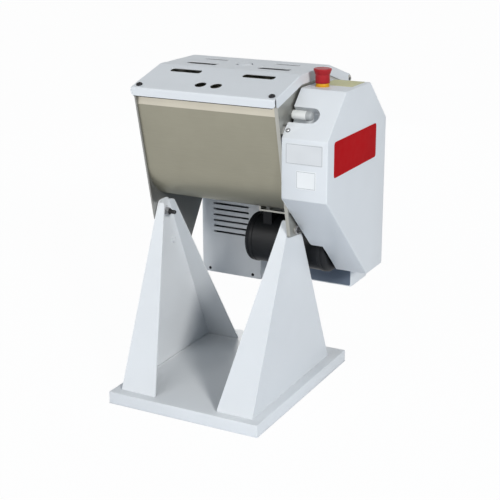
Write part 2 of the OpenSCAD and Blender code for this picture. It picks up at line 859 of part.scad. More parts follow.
// Half angle of a tooth at radius r, involute flanks at 25 degrees
press = 25;
backlash = 0.4;
addendum = 0.8;
function inv(a) = tan(a) - a * PI / 180;
function half_tooth(z, r) =
    let (rp = gear_m * z / 2, rb = rp * cos(press))
    90 / z - backlash / 4 / rp * 180 / PI + (inv(press) - inv(acos(min(1, rb / max(r, rb))))) * 180 / PI;

module gear_outline(z, phase) {
    rp = gear_m * z / 2;
    r0 = rp - gear_m;
    r3 = rp + addendum * gear_m;
    r1 = max(rp * cos(press), r0 + 0.2 * gear_m);
    flank = [r0, r1, (r1 + r3) / 2, r3];
    polygon([for (i = [0:z - 1])
        let (mid = phase + 360 * i / z)
        each concat(
            [for (k = [0:3]) let (a = mid - half_tooth(z, flank[k])) flank[k] * [cos(a), sin(a)]],
            [for (k = [3:-1:0]) let (a = mid + half_tooth(z, flank[k])) flank[k] * [cos(a), sin(a)]])]);
}

module main_gear() {
    color(zinc) along_x(gear_x0, gear_x0 + gear_w) translate(bowl) difference() {
        gear_outline(main_teeth, lay_angle);
        circle(shaft_r);
        for (a = [0:60:300]) spot(0.6 * main_gear_r * [cos(a), sin(a)], main_gear_r * 0.16);
    }
}

module pinion() {
    color(zinc) along_x(gear_x0, gear_x0 + gear_w) translate(lay) difference() {
        gear_outline(pinion_teeth, lay_angle + 180 + 180 / pinion_teeth);
        circle(lay_r);
    }
}

module agitator_shaft() {
    color(zinc) rod_x(-housing_x1 + 1, gear_x0 + gear_w + 4, shaft_r, bowl);
}

// A round bar wound part way round the shaft, swept as one body
module swept_bar(start) {
    pts = [for (i = [0:blade_rings]) let (f = i / blade_rings, a = start + blade_twist * f,
            lead = atan2(bar_orbit * blade_twist * PI / 180, 2 * blade_x))
        for (k = [0:blade_sides - 1]) let (b = 360 * k / blade_sides,
            out = bar_r * cos(b), side = bar_r * sin(b))
        [-blade_x + 2 * blade_x * f + side * sin(lead) * -1,
         (bar_orbit + out) * cos(a) - side * cos(lead) * sin(a),
         (bar_orbit + out) * sin(a) + side * cos(lead) * cos(a)]];
    n = blade_sides;
    polyhedron(pts, concat([[for (k = [0:n - 1]) k]],
        [for (i = [0:blade_rings - 1], k = [0:n - 1])
            [i * n + k, (i + 1) * n + k, (i + 1) * n + (k + 1) % n, i * n + (k + 1) % n]],
        [[for (k = [n - 1:-1:0]) blade_rings * n + k]]), convexity = 4);
}

hub_w = 28;
hub_wall = 9;
// Hub with two arms at one end of the agitator, at angle a
module arm_hub(x, a) {
    rod_x(x - hub_w / 2, x + hub_w / 2, shaft_r + hub_wall, bowl);
    for (s = [0, 180])
        translate([x, bowl[0], bowl[1]]) rotate([a + s, 0, 0]) rotate([-90, 0, 0])
            cylinder(h = bar_orbit + bar_r * 0.7, r = bar_r * 1.15);
}

module agitator_bars() {
    color(steel) difference() {
        union() {
            translate([0, bowl[0], bowl[1]]) {
                swept_bar(-75);
                swept_bar(105);
            }
            arm_hub(-blade_x, -75);
            arm_hub(blade_x, -75 + blade_twist);
        }
        rod_x(-blade_x - 30, blade_x + 30, shaft_r, bowl);
    }
}

module layshaft_housing() {
    color(zinc) difference() {
        union() {
            rod_x(plate_out, plate_out + 5, 28, lay);
            rod_x(plate_out, housing_x1, 20, lay);
        }
        rod_x(plate_out - 1, housing_x1 + 1, lay_r + 5, lay);
    }
}

module layshaft_bushes() {
    color([0.75, 0.55, 0.25]) tube_x(plate_out, housing_x1, lay_r + 5, lay_r + run_gap, lay);
}

module layshaft() {
    color(zinc) rod_x(plate_in + 1, pulley_x0 + pulley_w + 4, lay_r, lay);
}

// Grooved pulley: rim with a V, web and hub, bored for its shaft
module v_pulley(r, bore, at) {
    groove = 5.5;
    color(zinc) difference() {
        translate([pulley_x0, at[0], at[1]]) rotate([0, 90, 0]) rotate_extrude()
            polygon([[bore, 0], [r, 0], [r, groove], [r - 9, groove + 2.5], [r - 9, pulley_w - groove - 2.5],
                [r, pulley_w - groove], [r, pulley_w], [bore, pulley_w]]);
        if (r > 60)
            for (a = [0:60:300])
                rod_x(pulley_x0 - 1, pulley_x0 + pulley_w + 1, r * 0.19, at + r * 0.54 * [cos(a), sin(a)]);
    }
}

module large_pulley() {
    v_pulley(pulley_big_d / 2, lay_r, lay);
}

module motor_pulley() {
    v_pulley(pulley_small_d / 2, motor_shaft_r, motor);
}

// Open belt round both pulleys, tangent runs and round ends
belt_axis = lay - motor;
belt_dist = norm(belt_axis);
module belt_loop(grow) {
    ra = pulley_big_d / 2 - 8.5 + grow;
    rb = pulley_small_d / 2 - 8.5 + grow;
    tip = asin((ra - rb) / belt_dist);
    base = atan2(belt_axis[1], belt_axis[0]);
    up = [cos(base + 90 - tip), sin(base + 90 - tip)];
    down = [cos(base - 90 + tip), sin(base - 90 + tip)];
    spot(lay, ra);
    spot(motor, rb);
    polygon([lay + (ra - sink) * up, motor + (rb - sink) * up,
        motor + (rb - sink) * down, lay + (ra - sink) * down]);
}

module drive_belt() {
    mid = pulley_x0 + pulley_w / 2;
    color(black) along_x(mid - 2, mid + 2) difference() {
        belt_loop(belt_h);
        belt_loop(0);
    }
}

// Lid

module on_lid_front(u, x) {
    translate([x, lid_front, lid_lip_z]) rotate([lid_slope, 0, 0]) translate([0, u, 0]) children();
}

module slot_hole(l, w) {
    for (s = [-1, 1]) translate([s * (l - w) / 2, 0, 0]) cylinder(h = 10, r = w / 2, center = true);
    cube([l - w, w, 10], center = true);
}

front_slot_u = 107;
slot_x = lid_x - 90;
pour_u = 43;
pour_x = 20;
vent_r = 20;
module lid_panel() {
    x = lid_x;
    skirt_line = [lid_rear, lid_outline[3], lid_outline[2], [lid_front + 4, lid_lip_z + 4 * tan(lid_slope)]];
    color(paint) difference() {
        union() {
            along_x(-x, x) polygon(sheet([for (i = [5:-1:0]) lid_outline[i]], lid_sheet));
            for (s = [-1, 1])
                along_x(s > 0 ? x - lid_sheet : -x, s > 0 ? x : -x + lid_sheet)
                    polygon([for (i = [0:3]) miter(skirt_line, i, lid_sheet / 2),
                        for (i = [3:-1:0]) miter(skirt_line, i, skirt_h)]);
        }
        for (s = [-1, 1]) lip_corner(s);
        // rear lip runs between the end plates only
        for (s = [-1, 1])
            block([s > 0 ? plate_in - 3 : -x - 1, lid_rear[0] - 8, lid_rear[1] - 22],
                [s > 0 ? x + 1 : -plate_in + 3, lid_rear[0] + 1, lid_rear[1] - 2.5]);
        for (s = [-1, 1]) {
            on_lid_front(front_slot_u, s * slot_x - 3) slot_hole(slot_l, slot_w);
            translate([s * slot_x, lid_bend1 + 44, lid_top_z]) slot_hole(slot_l, slot_w * 0.8);
            translate([s * slot_x, lid_bend1 + 112, lid_top_z]) slot_hole(slot_l * 0.8, slot_w * 0.6);
            on_lid_front(pour_u, s * pour_x - 4) cylinder(h = 10, r = pour_d / 2, center = true);
            on_lid_front(foot_u, s * foot_x) cylinder(h = 10, r = 2.5, center = true);
        }
        translate([0, lid_bend1 + 77, lid_top_z]) cylinder(h = 10, r = vent_r, center = true);
    }
}

// What is cut off one lower corner of the front lip
lip_corner_r = 9;
module lip_corner(s) {
    low = lid_lip_z - lid_lip_h;
    along_y(lid_front - 1, lid_front + lid_sheet + 1) difference() {
        translate([s > 0 ? lid_x - lip_corner_r : -lid_x - 1, low - 1])
            square([lip_corner_r + 1, lip_corner_r + 1]);
        spot([s * (lid_x - lip_corner_r), low + lip_corner_r], lip_corner_r);
    }
}

foot_u = (foot_y - lid_front) / cos(lid_slope);
module lid_feet() {
    color(black) for (s = [-1, 1]) {
        top = lid_lip_z + (foot_y - lid_front) * tan(lid_slope) - lid_sheet / cos(lid_slope);
        difference() {
            translate([s * foot_x, foot_y, rim_z + seat_gap]) cylinder(h = top - rim_z + 3, r = 5);
            on_lid_front(0, s * foot_x) translate([-10, -20, -lid_sheet]) cube([20, 60, 20]);
        }
    }
}

module lid_screws() {
    color(black) for (s = [-1, 1]) on_lid_front(foot_u, s * foot_x) union() {
        cylinder(h = 2.2, r = 7.5);
        translate([0, 0, 2.2]) cylinder(h = 1.6, r1 = 7.5, r2 = 5);
        translate([0, 0, -lid_sheet]) cylinder(h = 2, r = 2.5);
    }
}

// Two hinge leaves, curled round the rod and riveted to the rear lip
knuckle_w = 36;
knuckle_x = plate_in - 43;
module lid_knuckles() {
    leaf_h = rod_r + 2;
    color(zinc) for (x = [-knuckle_x, knuckle_x]) difference() {
        union() {
            rod_x(x - knuckle_w / 2, x + knuckle_w / 2, rod_r + 2.5, rod);
            block([x - knuckle_w / 2, lid_rear[0], rod[1] - leaf_h],
                [x + knuckle_w / 2, rod[0], rod[1] + leaf_h]);
        }
        rod_x(x - knuckle_w, x + knuckle_w, rod_r + run_gap, rod);
    }
}

base_tray();
base_stiffener();
left_support();
right_support();
left_pivot_bolt();
left_pivot_nut();
left_pivot_washer();
right_pivot_bolt();
right_pivot_nut();
tilt_stop();
left_end_plate();
right_end_plate();
trough_shell();
left_bearing_housing();
right_bearing_housing();
shaft_bushes();
shaft_seals();
lid_hinge_rod();
rear_casing();
louvre_box();
casing_screws();
drive_cover();
cover_brackets();
cover_screws();
grip_pocket();
tilt_grip();
grip_end_cap();
estop_collar();
estop_body();
motor_housing();
motor_rear_bell();
motor_front_bell();
motor_feet();
motor_bracket();
motor_bolts();
drive_belt();
layshaft_housing();
layshaft_bushes();
contactor();
cable_gland();
lid_panel();
lid_knuckles();
lid_feet();
lid_screws();
agitator_shaft();
agitator_bars();
main_gear();
layshaft();
pinion();
large_pulley();
motor_shaft();
motor_pulley();
motor_fan();
estop_plunger();
estop_head();
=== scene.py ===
import json
import math
import bmesh
import bpy
from mathutils import Matrix, Vector


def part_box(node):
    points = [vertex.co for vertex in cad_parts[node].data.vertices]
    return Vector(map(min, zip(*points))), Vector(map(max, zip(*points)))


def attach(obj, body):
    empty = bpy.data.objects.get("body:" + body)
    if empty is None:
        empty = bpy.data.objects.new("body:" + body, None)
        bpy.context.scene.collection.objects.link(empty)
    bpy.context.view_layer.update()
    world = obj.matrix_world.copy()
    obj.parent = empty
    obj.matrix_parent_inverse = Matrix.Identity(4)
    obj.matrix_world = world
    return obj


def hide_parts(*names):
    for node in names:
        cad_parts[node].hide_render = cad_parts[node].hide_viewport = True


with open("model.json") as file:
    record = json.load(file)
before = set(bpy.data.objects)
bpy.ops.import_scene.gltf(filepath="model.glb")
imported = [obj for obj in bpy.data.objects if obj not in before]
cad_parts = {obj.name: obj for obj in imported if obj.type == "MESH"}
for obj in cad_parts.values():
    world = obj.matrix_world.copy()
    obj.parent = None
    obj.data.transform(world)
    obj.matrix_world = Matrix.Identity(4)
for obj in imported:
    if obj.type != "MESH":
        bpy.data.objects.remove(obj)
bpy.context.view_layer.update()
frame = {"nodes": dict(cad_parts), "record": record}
mm = 0.001
touching = 0.001 * mm    # points closer than this are one
record = frame["record"]
bodyOf = {node: body for body, members in record["behaviour"]["bodies"].items() for node in members}
print("model loaded:", len(frame["nodes"]), "nodes")


# Camera, as the photograph was taken
cameraLook = {
    "place": (1.2982, -2.3459, 1.2060),
    "yaw": 27.97,       # degrees left of straight ahead
    "down": 17.83,
    "roll": -0.23,
    "lens": 83.99,
    "sensor": 36.0,
}


def makeCamera():
    yaw, down, roll = (math.radians(cameraLook[k]) for k in ("yaw", "down", "roll"))
    ahead = Vector((-math.sin(yaw) * math.cos(down), math.cos(yaw) * math.cos(down), -math.sin(down)))
    level = ahead.cross(Vector((0, 0, 1))).normalized()
    upright = level.cross(ahead)
    right = level * math.cos(roll) + upright * math.sin(roll)
    up = upright * math.cos(roll) - level * math.sin(roll)
    data = bpy.data.cameras.new("camera")
    data.lens = cameraLook["lens"]
    data.sensor_width = cameraLook["sensor"]
    data.clip_end = 100
    camera = bpy.data.objects.new("camera", data)
    turn = Matrix((right, up, -ahead)).transposed().to_4x4()
    camera.matrix_world = Matrix.Translation(cameraLook["place"]) @ turn
    bpy.context.scene.collection.objects.link(camera)
    bpy.context.scene.camera = camera


makeCamera()
print("camera set")


# Materials. Each one takes its grain from the object's own coordinates, in metres.
noiseSpan = {"From Min": 0.3, "From Max": 0.7}    # where a noise has most of its values


def addNode(owner, kind, values=None, **settings):
    made = owner.node_tree.nodes.new(kind)
    for key, value in settings.items():
        setattr(made, key, value)
    for key, value in (values or {}).items():
        made.inputs[key].default_value = value
    return made


def join(owner, source, target):
    owner.node_tree.links.new(source, target)


def newFinish(name, roughness, metal=0.0):
    finish = bpy.data.materials.new(name)
    finish.use_nodes = True
    shader = finish.node_tree.nodes["Principled BSDF"]
    shader.inputs["Metallic"].default_value = metal
    shader.inputs["Roughness"].default_value = roughness
    return finish, shader


def grain(finish, size, stretch=(1, 1, 1), detail=3.0):
    # a noise whose blobs measure about size millimetres, drawn out along an axis where stretch is small
    place = addNode(finish, "ShaderNodeTexCoord")
    scale = [s / (size * mm) for s in stretch]
    moved = addNode(finish, "ShaderNodeMapping", {"Scale": scale})
    noise = addNode(finish, "ShaderNodeTexNoise", {"Scale": 1.0, "Detail": detail})
    join(finish, place.outputs["Object"], moved.inputs["Vector"])
    join(finish, moved.outputs["Vector"], noise.inputs["Vector"])
    return noise.outputs["Fac"]


def tint(finish, shader, source, low, high):
    blend = addNode(finish, "ShaderNodeMix", data_type="RGBA")
    spread = addNode(finish, "ShaderNodeMapRange", noiseSpan)
    blend.inputs["A"].default_value = (*low, 1)
    blend.inputs["B"].default_value = (*high, 1)
    join(finish, source, spread.inputs["Value"])
    join(finish, spread.outputs["Result"], blend.inputs["Factor"])
    join(finish, blend.outputs["Result"], shader.inputs["Base Color"])


def varyRoughness(finish, shader, source, low, high):
    spread = addNode(finish, "ShaderNodeMapRange", {**noiseSpan, "To Min": low, "To Max": high})
    join(finish, source, spread.inputs["Value"])
    join(finish, spread.outputs["Result"], shader.inputs["Roughness"])


def relief(finish, shader, source, depth):
    bump = addNode(finish, "ShaderNodeBump", {"Distance": depth * mm, "Strength": 1.0})
    join(finish, source, bump.inputs["Height"])
    join(finish, bump.outputs["Normal"], shader.inputs["Normal"])


def shade(colour, factor):
    return tuple(c * factor for c in colour)


def weather(finish, shader, look, clouds, specks):
    # clouds shift the colour, specks the gloss and the relief
    colour, rough = look["colour"], look["roughness"]
    tint(finish, shader, clouds, shade(colour, 1 - look["drift"]), shade(colour, 1 + look["drift"]))
    varyRoughness(finish, shader, specks, rough - look["spread"], rough + look["spread"])
    relief(finish, shader, specks, look["depth"])


# drift is how far the colour shifts and spread how far the roughness does; depth is in millimetres
paintLook = {"colour": (0.715, 0.735, 0.755), "roughness": 0.42, "clouds": 130, "peel": 2.2, "drift": 0.018,
             "spread": 0.05, "depth": 0.05}


def makePaint():
    finish, shader = newFinish("coatedSheet", paintLook["roughness"])
    clouds = grain(finish, paintLook["clouds"], detail=2.0)
    weather(finish, shader, paintLook, clouds, grain(finish, paintLook["peel"]))
    return finish


steelLooks = {
    "bowlSteel": {"colour": (0.30, 0.288, 0.228), "roughness": 0.46, "along": (0.02, 1, 1)},
    "bandSteel": {"colour": (0.58, 0.545, 0.46), "roughness": 0.42, "along": (0.02, 1, 1)},
    "plateSteel": {"colour": (0.42, 0.42, 0.39), "roughness": 0.40, "along": (1, 1, 0.02)},
    # painted shade: a darker copy of the plate steel for the left end plate, whose visible part lies in shade
    "darkSteel": {"colour": (0.29, 0.29, 0.28), "roughness": 0.42, "along": (1, 1, 0.02)},
}
# what the brushed steels share; lines and clouds are the sizes of their grain in millimetres
brushedLook = {"metal": 0.85, "lines": 0.8, "clouds": 70, "drift": 0.03, "spread": 0.08, "depth": 0.012}


def makeSteel(name):
    look = {**brushedLook, **steelLooks[name]}
    finish, shader = newFinish(name, look["roughness"], look["metal"])
    lines = grain(finish, look["lines"], look["along"], detail=4.0)
    clouds = grain(finish, look["clouds"], detail=2.0)
    weather(finish, shader, look, clouds, lines)
    return finish


# what a plain finish has where its own row says nothing; size is that of its specks, in millimetres
evenLook = {"metal": 0.0, "gloss": 0.5, "cloudTimes": 12, "drift": 0.06, "spread": 0.05, "depth": 0.01}
plainLooks = {
    "zincPlate": {"colour": (0.58, 0.59, 0.60), "roughness": 0.32, "metal": 0.95, "size": 6},
    "dullZinc": {"colour": (0.38, 0.37, 0.35), "roughness": 0.4, "metal": 0.7, "size": 5},
    "nutZinc": {"colour": (0.40, 0.40, 0.41), "roughness": 0.3, "metal": 0.6, "size": 5},
    "brightZinc": {"colour": (0.78, 0.80, 0.84), "roughness": 0.38, "metal": 0.35, "size": 5},
    "groundSteel": {"colour": (0.66, 0.66, 0.65), "roughness": 0.22, "metal": 1.0, "size": 3, "depth": 0.006},
    "bearingBronze": {"colour": (0.50, 0.29, 0.10), "roughness": 0.34, "metal": 0.95, "size": 4},
    "darkThread": {"colour": (0.02, 0.02, 0.022), "roughness": 0.42, "metal": 0.2, "size": 2},
    "motorPaint": {"colour": (0.011, 0.012, 0.014), "roughness": 0.44, "gloss": 0.28, "size": 1.6,
                   "depth": 0.02},
    "castBlack": {"colour": (0.01, 0.011, 0.013), "roughness": 0.55, "gloss": 0.2, "size": 1.2,
                  "depth": 0.04},
    "rubberBlack": {"colour": (0.014, 0.014, 0.014), "roughness": 0.72, "gloss": 0.3, "size": 1.5,
                    "depth": 0.04},
    "screwBlack": {"colour": (0.01, 0.01, 0.012), "roughness": 0.4, "gloss": 0.2, "size": 2},
    "gripNylon": {"colour": (0.72, 0.72, 0.70), "roughness": 0.5, "size": 3},
    "capPlastic": {"colour": (0.36, 0.37, 0.37), "roughness": 0.48, "size": 2},
    "housingPlastic": {"colour": (0.05, 0.052, 0.056), "roughness": 0.5, "size": 2, "depth": 0.03},
    "stopRed": {"colour": (0.37, 0.013, 0.019), "roughness": 0.42, "gloss": 0.25, "size": 5, "depth": 0.002},
    "collarYellow": {"colour": (0.62, 0.31, 0.008), "roughness": 0.42, "gloss": 0.3, "size": 5,
                     "depth": 0.002},
    # painted shade: a dark blue-grey standing in for the shadow low on the rear casing's front
    "sillGrey": {"colour": (0.14, 0.17, 0.22), "roughness": 0.5, "gloss": 0.2, "size": 9, "depth": 0.004},
    "labelGrey": {"colour": (0.70, 0.71, 0.72), "roughness": 0.4, "size": 9, "depth": 0.002},
    "labelWhite": {"colour": (0.86, 0.87, 0.87), "roughness": 0.4, "size": 9, "depth": 0.002},
    "labelEdge": {"colour": (0.40, 0.41, 0.43), "roughness": 0.4, "size": 9, "depth": 0.002},
    "labelBeige": {"colour": (0.58, 0.55, 0.24), "roughness": 0.4, "gloss": 0.3, "size": 9, "depth": 0.002},
    "plateRed": {"colour": (0.44, 0.001, 0.004), "roughness": 0.45, "gloss": 0.02, "size": 20,
                 "depth": 0.001},
}


def makePlain(name):
    look = {**evenLook, **plainLooks[name]}
    finish, shader = newFinish(name, look["roughness"], look["metal"])
    shader.inputs["Specular IOR Level"].default_value = look["gloss"]
    specks = grain(finish, look["size"])
    clouds = grain(finish, look["size"] * look["cloudTimes"], detail=2.0)
    weather(finish, shader, look, clouds, specks)
    return finish


finishes = {"coatedSheet": makePaint()}
finishes.update({name: makeSteel(name) for name in steelLooks})
finishes.update({name: makePlain(name) for name in plainLooks})
print("materials made:", len(finishes))


# Tools for building pieces
foldLook = {
    "least": 40,        # a fold turns by more than this many degrees
    "most": 140,
    "reach": 6.0,       # and both its faces reach further than this
    "strip": 1.6,       # width of the plain strip beside a fold, as a share of its radius
    "flat": 0.4,        # faces that turn by less than this many degrees are one
}


def addPiece(mesh, name, body, finish, smooth=35.0, edge=0.0, outward=True):
    # turns a bmesh into an object that rides on a body; edge is the width of its worn edges in millimetres
    if outward:
        bmesh.ops.recalc_face_normals(mesh, faces=mesh.faces)
    data = bpy.data.meshes.new(name)
    mesh.to_mesh(data)
    mesh.free()
    for one in finish if isinstance(finish, tuple) else (finish,):
        data.materials.append(finishes[one])
    data.shade_smooth()
    data.set_sharp_from_angle(angle=math.radians(smooth))
    piece = bpy.data.objects.new(name, data)
    bpy.context.scene.collection.objects.link(piece)
    if edge:
        bevel = piece.modifiers.new("edges", "BEVEL")
        bevel.width = edge * mm
        bevel.segments = 2
        bevel.limit_method = "ANGLE"
        bevel.angle_limit = math.radians(smooth)
        bevel.use_clamp_overlap = False
        bevel.harden_normals = True
    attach(piece, body)
    return piece


def meshOf(node, whole=True):
    # a working copy of a CAD node, its split corners joined and, where asked, its flat faces whole
    source = frame["nodes"][node].data
    mesh = bmesh.new()
    corners = [mesh.verts.new(v.co) for v in source.vertices]
    for face in source.polygons:
        mesh.faces.new([corners[v] for v in face.vertices])
    bmesh.ops.remove_doubles(mesh, verts=mesh.verts, dist=0.005 * mm)
    if whole:
        bmesh.ops.dissolve_limit(mesh, angle_limit=math.radians(foldLook["flat"]), verts=mesh.verts,
                                 edges=mesh.edges)
    return mesh


def faceReach(face, edge):
    # how far a face reaches away from one of its edges
    start = edge.verts[0].co
    along = (edge.verts[1].co - start).normalized()
    return max(((v.co - start) - along * (v.co - start).dot(along)).length for v in face.verts)


def foldEdges(mesh, wide):
    # the outer edges between two wide faces
    mesh.normal_update()
    folds = []
    for edge in mesh.edges:
        if len(edge.link_faces) != 2 or not edge.is_convex:
            continue
        turn = edge.calc_face_angle(0)
        reach = min(faceReach(face, edge) for face in edge.link_faces)
        if math.radians(foldLook["least"]) < turn < math.radians(foldLook["most"]) and reach > wide * mm:
            folds.append(edge)
    return folds


def stripCuts(mesh, width):
    # the lines, a width beside every fold, that part a plain strip from the rest of its face
    cuts = {}
    for edge in foldEdges(mesh, foldLook["reach"]):
        start = edge.verts[0].co
        along = (edge.verts[1].co - start).normalized()
        for face in edge.link_faces:
            inward = face.normal.cross(along)
            if inward.dot(face.calc_center_median() - start) < 0:
                inward.negate()
            spot = start + inward * width * mm
            key = (*(round(c, 3) for c in inward), round(spot.dot(inward), 5))
            cuts[key] = (spot, inward.copy(), face.normal.copy())
    return list(cuts.values())


def stripMesh(node, radius):
    # a CAD node with plain strips beside its folds, so that rounding them leaves the holes whole
    width = radius * foldLook["strip"]
    guide = meshOf(node)
    cuts = stripCuts(guide, width)
    guide.free()
    mesh = meshOf(node, whole=False)
    for spot, inward, normal in cuts:
        bmesh.ops.bisect_plane(mesh, geom=mesh.verts[:] + mesh.edges[:] + mesh.faces[:], dist=touching,
                               plane_co=spot, plane_no=inward)
    mesh.normal_update()

    def inStrip(face):
        centre = face.calc_center_median()
        for spot, inward, normal in cuts:
            off = centre - spot
            inPlane = abs(off.dot(normal)) < 0.02 * mm and face.normal.dot(normal) > 0.9999
            if inPlane and -width * mm < off.dot(inward) < 0:
                return True
        return False

    strips = {face for face in mesh.faces if inStrip(face)}
    inner = [e for e in mesh.edges if len(e.link_faces) == 2 and all(f in strips for f in e.link_faces)
             and e.calc_face_angle(0) < math.radians(foldLook["flat"])]
    bmesh.ops.dissolve_edges(mesh, edges=inner, use_verts=True, use_face_split=False)
    return mesh


def roundFolds(mesh, radius, wide=foldLook["reach"]):
    # rounds the folds of a sheet
    bmesh.ops.bevel(mesh, geom=foldEdges(mesh, wide), offset=radius * mm, segments=3, profile=0.5,
                    affect="EDGES", clamp_overlap=False)


def dress(node, name, finish, fold=0.0, edge=0.0, smooth=35.0):
    # a piece with the shape of its CAD node, its folds or its edges rounded
    mesh = meshOf(node)
    if fold:
        roundFolds(mesh, fold)
    piece = addPiece(mesh, name, bodyOf[node], finish, smooth, edge, outward=False)
    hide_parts(node)


def axisTurn(axis):
    # a turn that takes +X to the given axis
    return Vector((1, 0, 0)).rotation_difference(Vector(axis)).to_matrix().to_4x4()


def lathe(mesh, profile, at, axis=(1, 0, 0), steps=64, finish=0, shape=None):
    # turns (along, radius) points in millimetres about an axis through at, closed where the radius is 0;
    # shape(angle, index) may change the radius of a ring, for a recess or ribs
    place = Matrix.Translation(at) @ axisTurn(axis)
    rings = []
    for index, (along, radius) in enumerate(profile):
        count = 1 if radius == 0 else steps
        ring = []
        for k in range(count):
            angle = 2 * math.pi * k / steps
            r = radius * (shape(angle, index) if shape else 1.0)
            point = Vector((along, r * math.cos(angle), r * math.sin(angle))) * mm
            ring.append(mesh.verts.new(place @ point))
        rings.append(ring)
    for first, second in zip(rings, rings[1:]):
        for k in range(steps):
            n = (k + 1) % steps
            spots = ((first, k), (first, n), (second, n), (second, k))
            corners = [ring[spot % len(ring)] for ring, spot in spots]
            corners = [c for i, c in enumerate(corners) if c not in corners[:i]]
            if len(corners) > 2:
                mesh.faces.new(corners).material_index = finish


def roundedOutline(width, height, radius, steps=6):
    # points round a plate, counter-clockwise from its right side, in millimetres
    points = []
    for corner in range(4):
        cx = (width / 2 - radius) * (1 if corner in (0, 3) else -1)
        cy = (height / 2 - radius) * (1 if corner < 2 else -1)
        for k in range(steps + 1):
            angle = math.pi / 2 * (corner + k / steps)
            points.append((cx + radius * math.cos(angle), cy + radius * math.sin(angle)))
    return points


def plate(name, body, finish, look, centre, right, up):
    # a thin plate with a chamfered edge, and a printed line round its face where its look has a border
    out = Vector(right).cross(Vector(up))
    thick, chamfer = look["thick"], look["thick"] * 0.4
    levels = [(0, 0, 0), (0, thick - chamfer, 0), (chamfer, thick, 0)]    # inset, lift and material
    if "border" in look:
        levels += [(look["margin"], thick, 0), (look["margin"] + look["border"], thick, 1)]
    mesh = bmesh.new()
    rings = []
    for inset, lift, part in levels:
        corner = max(look["corner"] - inset, 0.3)
        outline = roundedOutline(look["width"] - 2 * inset, look["height"] - 2 * inset, corner)
        rings.append([mesh.verts.new(Vector(centre) + (Vector(right) * x + Vector(up) * y + out * lift) * mm)
                      for x, y in outline])
    for first, second, (inset, lift, part) in zip(rings, rings[1:], levels[1:]):
        for k in range(len(first)):
            n = (k + 1) % len(first)
            mesh.faces.new((first[k], first[n], second[n], second[k])).material_index = part
    mesh.faces.new(rings[-1]).material_index = 0
    mesh.faces.new(rings[0][::-1]).material_index = 0
    addPiece(mesh, name, body, finish, 30.0)


def extrude(mesh, points, first, last):
    # a solid between two places along X, its outline given as (y, z) in millimetres
    ends = [[mesh.verts.new(Vector((x, y, z)) * mm) for y, z in points] for x in (first, last)]
    count = len(points)
    for k in range(count):
        n = (k + 1) % count
        mesh.faces.new((ends[0][k], ends[0][n], ends[1][n], ends[1][k]))
    mesh.faces.new(ends[0][::-1])
    mesh.faces.new(ends[1])


def middle(node):
    # the centre of a CAD node's box
    low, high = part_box(node)
    return (low + high) / 2


# Base and supports
standLook = {
    "trayFold": 2.6,
    "supportFold": 3.6,
    "sheet": 3.0,       # thickness of a support
}
headLook = {
    "grow": 18.0,       # how far the flanges climb beside the flat head
    "corner": 4.5,      # softness of the head's two corners
    "endFrom": -6.0,    # a flange's upper end lies between these two places along its edge,
    "endTo": -1.5,      # counted from where the round head starts,
    "deep": 5.0,        # no deeper than this behind the edge,
    "over": 0.5,        # and no further than this past it
    "onArc": 1.2,       # points this close to the round edge belong to it
    "lap": 3.0,         # the corner starts this far below a flange's new end
    "near": 0.1,        # slack for points that lie on a limit
}
beadLook = {
    "radius": 1.3,
    "step": 3.0,        # length of one ripple
    "ripple": 0.16,
    "end": 0.35,        # size of the bead where it starts and stops
    "sides": 8,
    "offOuter": 4.2,    # from the outer face of a support to the bead inside it
    "offFlange": 5.6,
    "inset": 12.0,      # the long bead stops this far from the support's ends
    "short": 6.0,       # a flange's bead stops this far from its tip
    "lift": 0.4,
}


def weldBead(name, start, end):
    # a slightly rippled fillet of weld along a straight line
    mesh = bmesh.new()
    sides = beadLook["sides"]
    length = (end - start).length
    count = max(2, round(length / (beadLook["step"] * mm)))
    along = (end - start) / length
    across = along.cross(Vector((0, 0, 1))).normalized()
    rings = []
    for k in range(count + 1):
        swell = beadLook["end"] if k in (0, count) else 1 + beadLook["ripple"] * (-1) ** k
        ring = []
        for s in range(sides):
            angle = 2 * math.pi * s / sides
            off = across * math.cos(angle) + Vector((0, 0, 1)) * math.sin(angle)
            ring.append(mesh.verts.new(start + along * length * k / count
                                       + off * beadLook["radius"] * swell * mm))
        rings.append(ring)
    for first, second in zip(rings, rings[1:]):
        for s in range(sides):
            n = (s + 1) % sides
            mesh.faces.new((first[s], first[n], second[n], second[s]))
    mesh.faces.new(rings[0][::-1])
    mesh.faces.new(rings[-1])
    addPiece(mesh, name, "frame", "coatedSheet", 60.0)


